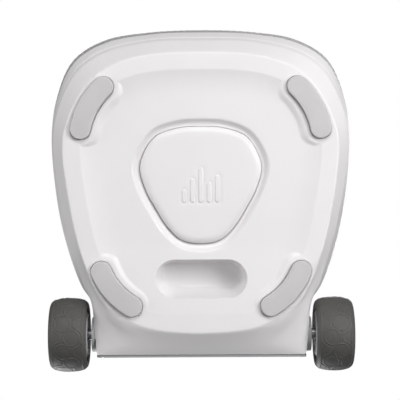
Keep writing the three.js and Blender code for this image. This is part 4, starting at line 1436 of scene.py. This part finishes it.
def rear_screws():
    """Cross-head screws that hold the rear panel, four along each edge."""
    low, high = node_box("rear_panel")
    aside, up = SCREW_INSET
    heights = [low[2] + up, *(low[2] + step for step in SCREW_STEPS), high[2] - up]
    places = [(x, z) for x in (low[0] + aside, high[0] - aside) for z in heights]
    head = along_y(turned(rounded([(0, -0.2), (3.4, -0.2), (3.4, 0.2), (2.2, 0.9), (0, 1.1)], 0.3), 40))
    obj = plain_object("rear_panel_screws", together(*(moved(head, x, high[1], z) for x, z in places)))
    for half_x, half_z in ((0.5, 2), (2, 0.5)):
        slot = brick((-half_x, half_x), (0.3, 3), (-half_z, half_z))
        carve(obj, together(*(moved(slot, x, high[1], z) for x, z in places)))
    dress(obj, BODY_OF["rear_panel"], "steel")


def rear_panel():
    """Flat sheet with an opening for each fitting; a negative gap lets the fitting lap behind it."""
    tools = []
    for node, gap in (("battery_door", GAP), ("connector_panel", -5), ("power_inlet", 0.5)):
        low, high = node_box(node)
        x, z = ((low[k] - gap, high[k] + gap) for k in (0, 2))
        tools.append(brick(x, THROUGH_REAR, z))
    x, _, z = node_middle("bass_port")
    tools.append(moved(along_y(rod(PORT_R + 4, *THROUGH_REAR)), x, 0, z))
    show("rear_panel", upright_plate(*node_box("rear_panel"), 3, 0.4, 0.8), tools)


def keep_cad_pieces():
    """The remaining CAD nodes get their material and softened edges."""
    for name, obj in frame["nodes"].items():
        if obj.hide_render:
            continue
        obj.data.materials.clear()
        obj.data.materials.append(MATERIAL[SLOT_OF[name]])
        obj.modifiers.new("shared corners", "WELD").merge_threshold = 0.001 * MM
        modifier = obj.modifiers.new("soft edges", "BEVEL")
        modifier.width = KEPT_EDGE * MM
        modifier.segments = 2
        modifier.limit_method = "ANGLE"
        modifier.angle_limit = math.radians(35)


# ---------------------------------------------------------------- stage, light and camera

CAMERA_PLACE = (0, 0.7, -1400)
CAMERA_ROLL = 0.3  # degrees
SENSOR_MM = 36
LENS_MM = 117
LENS_SHIFT = -0.00225  # of the picture's width
FLOOR_HALF = 15000
FLOOR_FADE = (0.6, 2.6)  # metres from the middle: where the floor starts to fade, and is gone


def aim(obj):
    """Turns a light so that it shines at the origin."""
    obj.rotation_mode = "QUATERNION"
    obj.rotation_quaternion = (-obj.location).to_track_quat("-Z", "Y")


def soft_light(name, direction, power, distance=3.0, size=1.4):
    """Round area light that shines at the object from a direction."""
    data = bpy.data.lights.new(name, "AREA")
    data.shape = "DISK"
    data.size = size
    data.energy = power
    light = bpy.data.objects.new(name, data)
    light.location = Vector(direction).normalized() * distance
    bpy.context.scene.collection.objects.link(light)
    aim(light)


def blend_surfaces(nodes, links, factor, shaders, output):
    """Shows the first shader where the factor is 0 and the second where it is 1."""
    choose = nodes.new("ShaderNodeMixShader")
    links.new(factor, choose.inputs["Fac"])
    for place, shader in enumerate(shaders, 1):
        links.new(shader.outputs[0], choose.inputs[place])
    links.new(choose.outputs["Shader"], nodes[output].inputs["Surface"])


def make_world():
    """White where the camera looks past the object, and a faint cool light on the object itself."""
    world = bpy.data.worlds.new("soft white")
    bpy.context.scene.world = world
    nodes, links = node_tree(world)
    seen = nodes["Background"]
    lighting = nodes.new("ShaderNodeBackground")
    for background, colour, strength in ((seen, (1, 1, 1), 1), (lighting, (0.96, 0.98, 1), 0.12)):
        background.inputs["Color"].default_value = (*colour, 1)
        background.inputs["Strength"].default_value = strength
    path = nodes.new("ShaderNodeLightPath")
    blend_surfaces(nodes, links, path.outputs["Is Camera Ray"], (lighting, seen), "World Output")


def make_floor():
    """Pale floor that fades out round the object, and is clear from below to show the underside."""
    half = FLOOR_HALF
    corners = np.array([(-half, -half, 0), (half, -half, 0), (half, half, 0), (-half, half, 0)], float)
    floor = plain_object("floor", (corners, [(0, 1, 2, 3)]))
    made = bpy.data.materials.new("floor")
    nodes, links = node_tree(made)
    solid = nodes["Principled BSDF"]
    solid.inputs["Base Color"].default_value = (0.86, 0.86, 0.87, 1)
    solid.inputs["Roughness"].default_value = 0.7
    side = nodes.new("ShaderNodeNewGeometry")
    place = nodes.new("ShaderNodeTexCoord")
    away = nodes.new("ShaderNodeVectorMath")
    away.operation = "LENGTH"
    links.new(place.outputs["Object"], away.inputs[0])
    fade = spread(nodes, links, away.outputs["Value"], 0, 1, *FLOOR_FADE)
    hidden = nodes.new("ShaderNodeMath")
    hidden.operation = "MAXIMUM"
    links.new(side.outputs["Backfacing"], hidden.inputs[0])
    links.new(fade, hidden.inputs[1])
    clear = nodes.new("ShaderNodeBsdfTransparent")
    blend_surfaces(nodes, links, hidden.outputs["Value"], (solid, clear), "Material Output")
    floor.data.materials.append(made)
    floor.visible_shadow = False
    floor.visible_diffuse = False
    floor.visible_glossy = False


def make_lights():
    soft_light("low side key", (0.97, 0, -0.26), 13)
    soft_light("low side fill", (-0.97, 0, -0.26), 24)
    soft_light("right key", (0.68, -0.25, -0.69), 14.3, distance=1.7, size=0.8)
    soft_light("front key", (0.6, -0.35, -0.72), 7)
    soft_light("front fill", (0, -0.71, -0.71), 41)
    soft_light("left fill", (-0.71, 0, -0.71), 7)
    soft_light("straight below", (0, 0, -1), 5)
    soft_light("key from above", (0.12, -0.15, 1), 160, distance=6.0, size=3.0)
    soft_light("back from above", (-0.3, 0.8, 0.6), 250, distance=6.0, size=3.0)


def make_camera():
    data = bpy.data.cameras.new("camera")
    data.sensor_width = SENSOR_MM
    data.lens = LENS_MM
    data.shift_x = LENS_SHIFT
    data.clip_start = 0.05
    data.clip_end = 100
    camera = bpy.data.objects.new("camera", data)
    camera.location = Vector(CAMERA_PLACE) * MM
    camera.rotation_euler = (math.pi, 0, math.radians(CAMERA_ROLL))
    bpy.context.scene.collection.objects.link(camera)
    bpy.context.scene.camera = camera


bpy.context.scene.view_settings.view_transform = "Standard"
make_plastics()
make_rubbers()
make_metals()
make_other_materials()
make_camera()
make_world()
make_floor()
make_lights()
base_pan()
base_cover()
feet()
cabinet_shell()
front_grille()
grille_lining()
rear_panel()
top_cap()
control_deck()
push_buttons()
handle()
for side_name, side in SIDES.items():
    tyre(side_name, side)
    hub(side_name, side)
    hub_cap(side_name, side)
    axle_block(side_name, side)
axle()
woofers()
tweeters()
bass_port()
gain_knobs()
splash_flap()
battery_door()
rear_screws()
keep_cad_pieces()
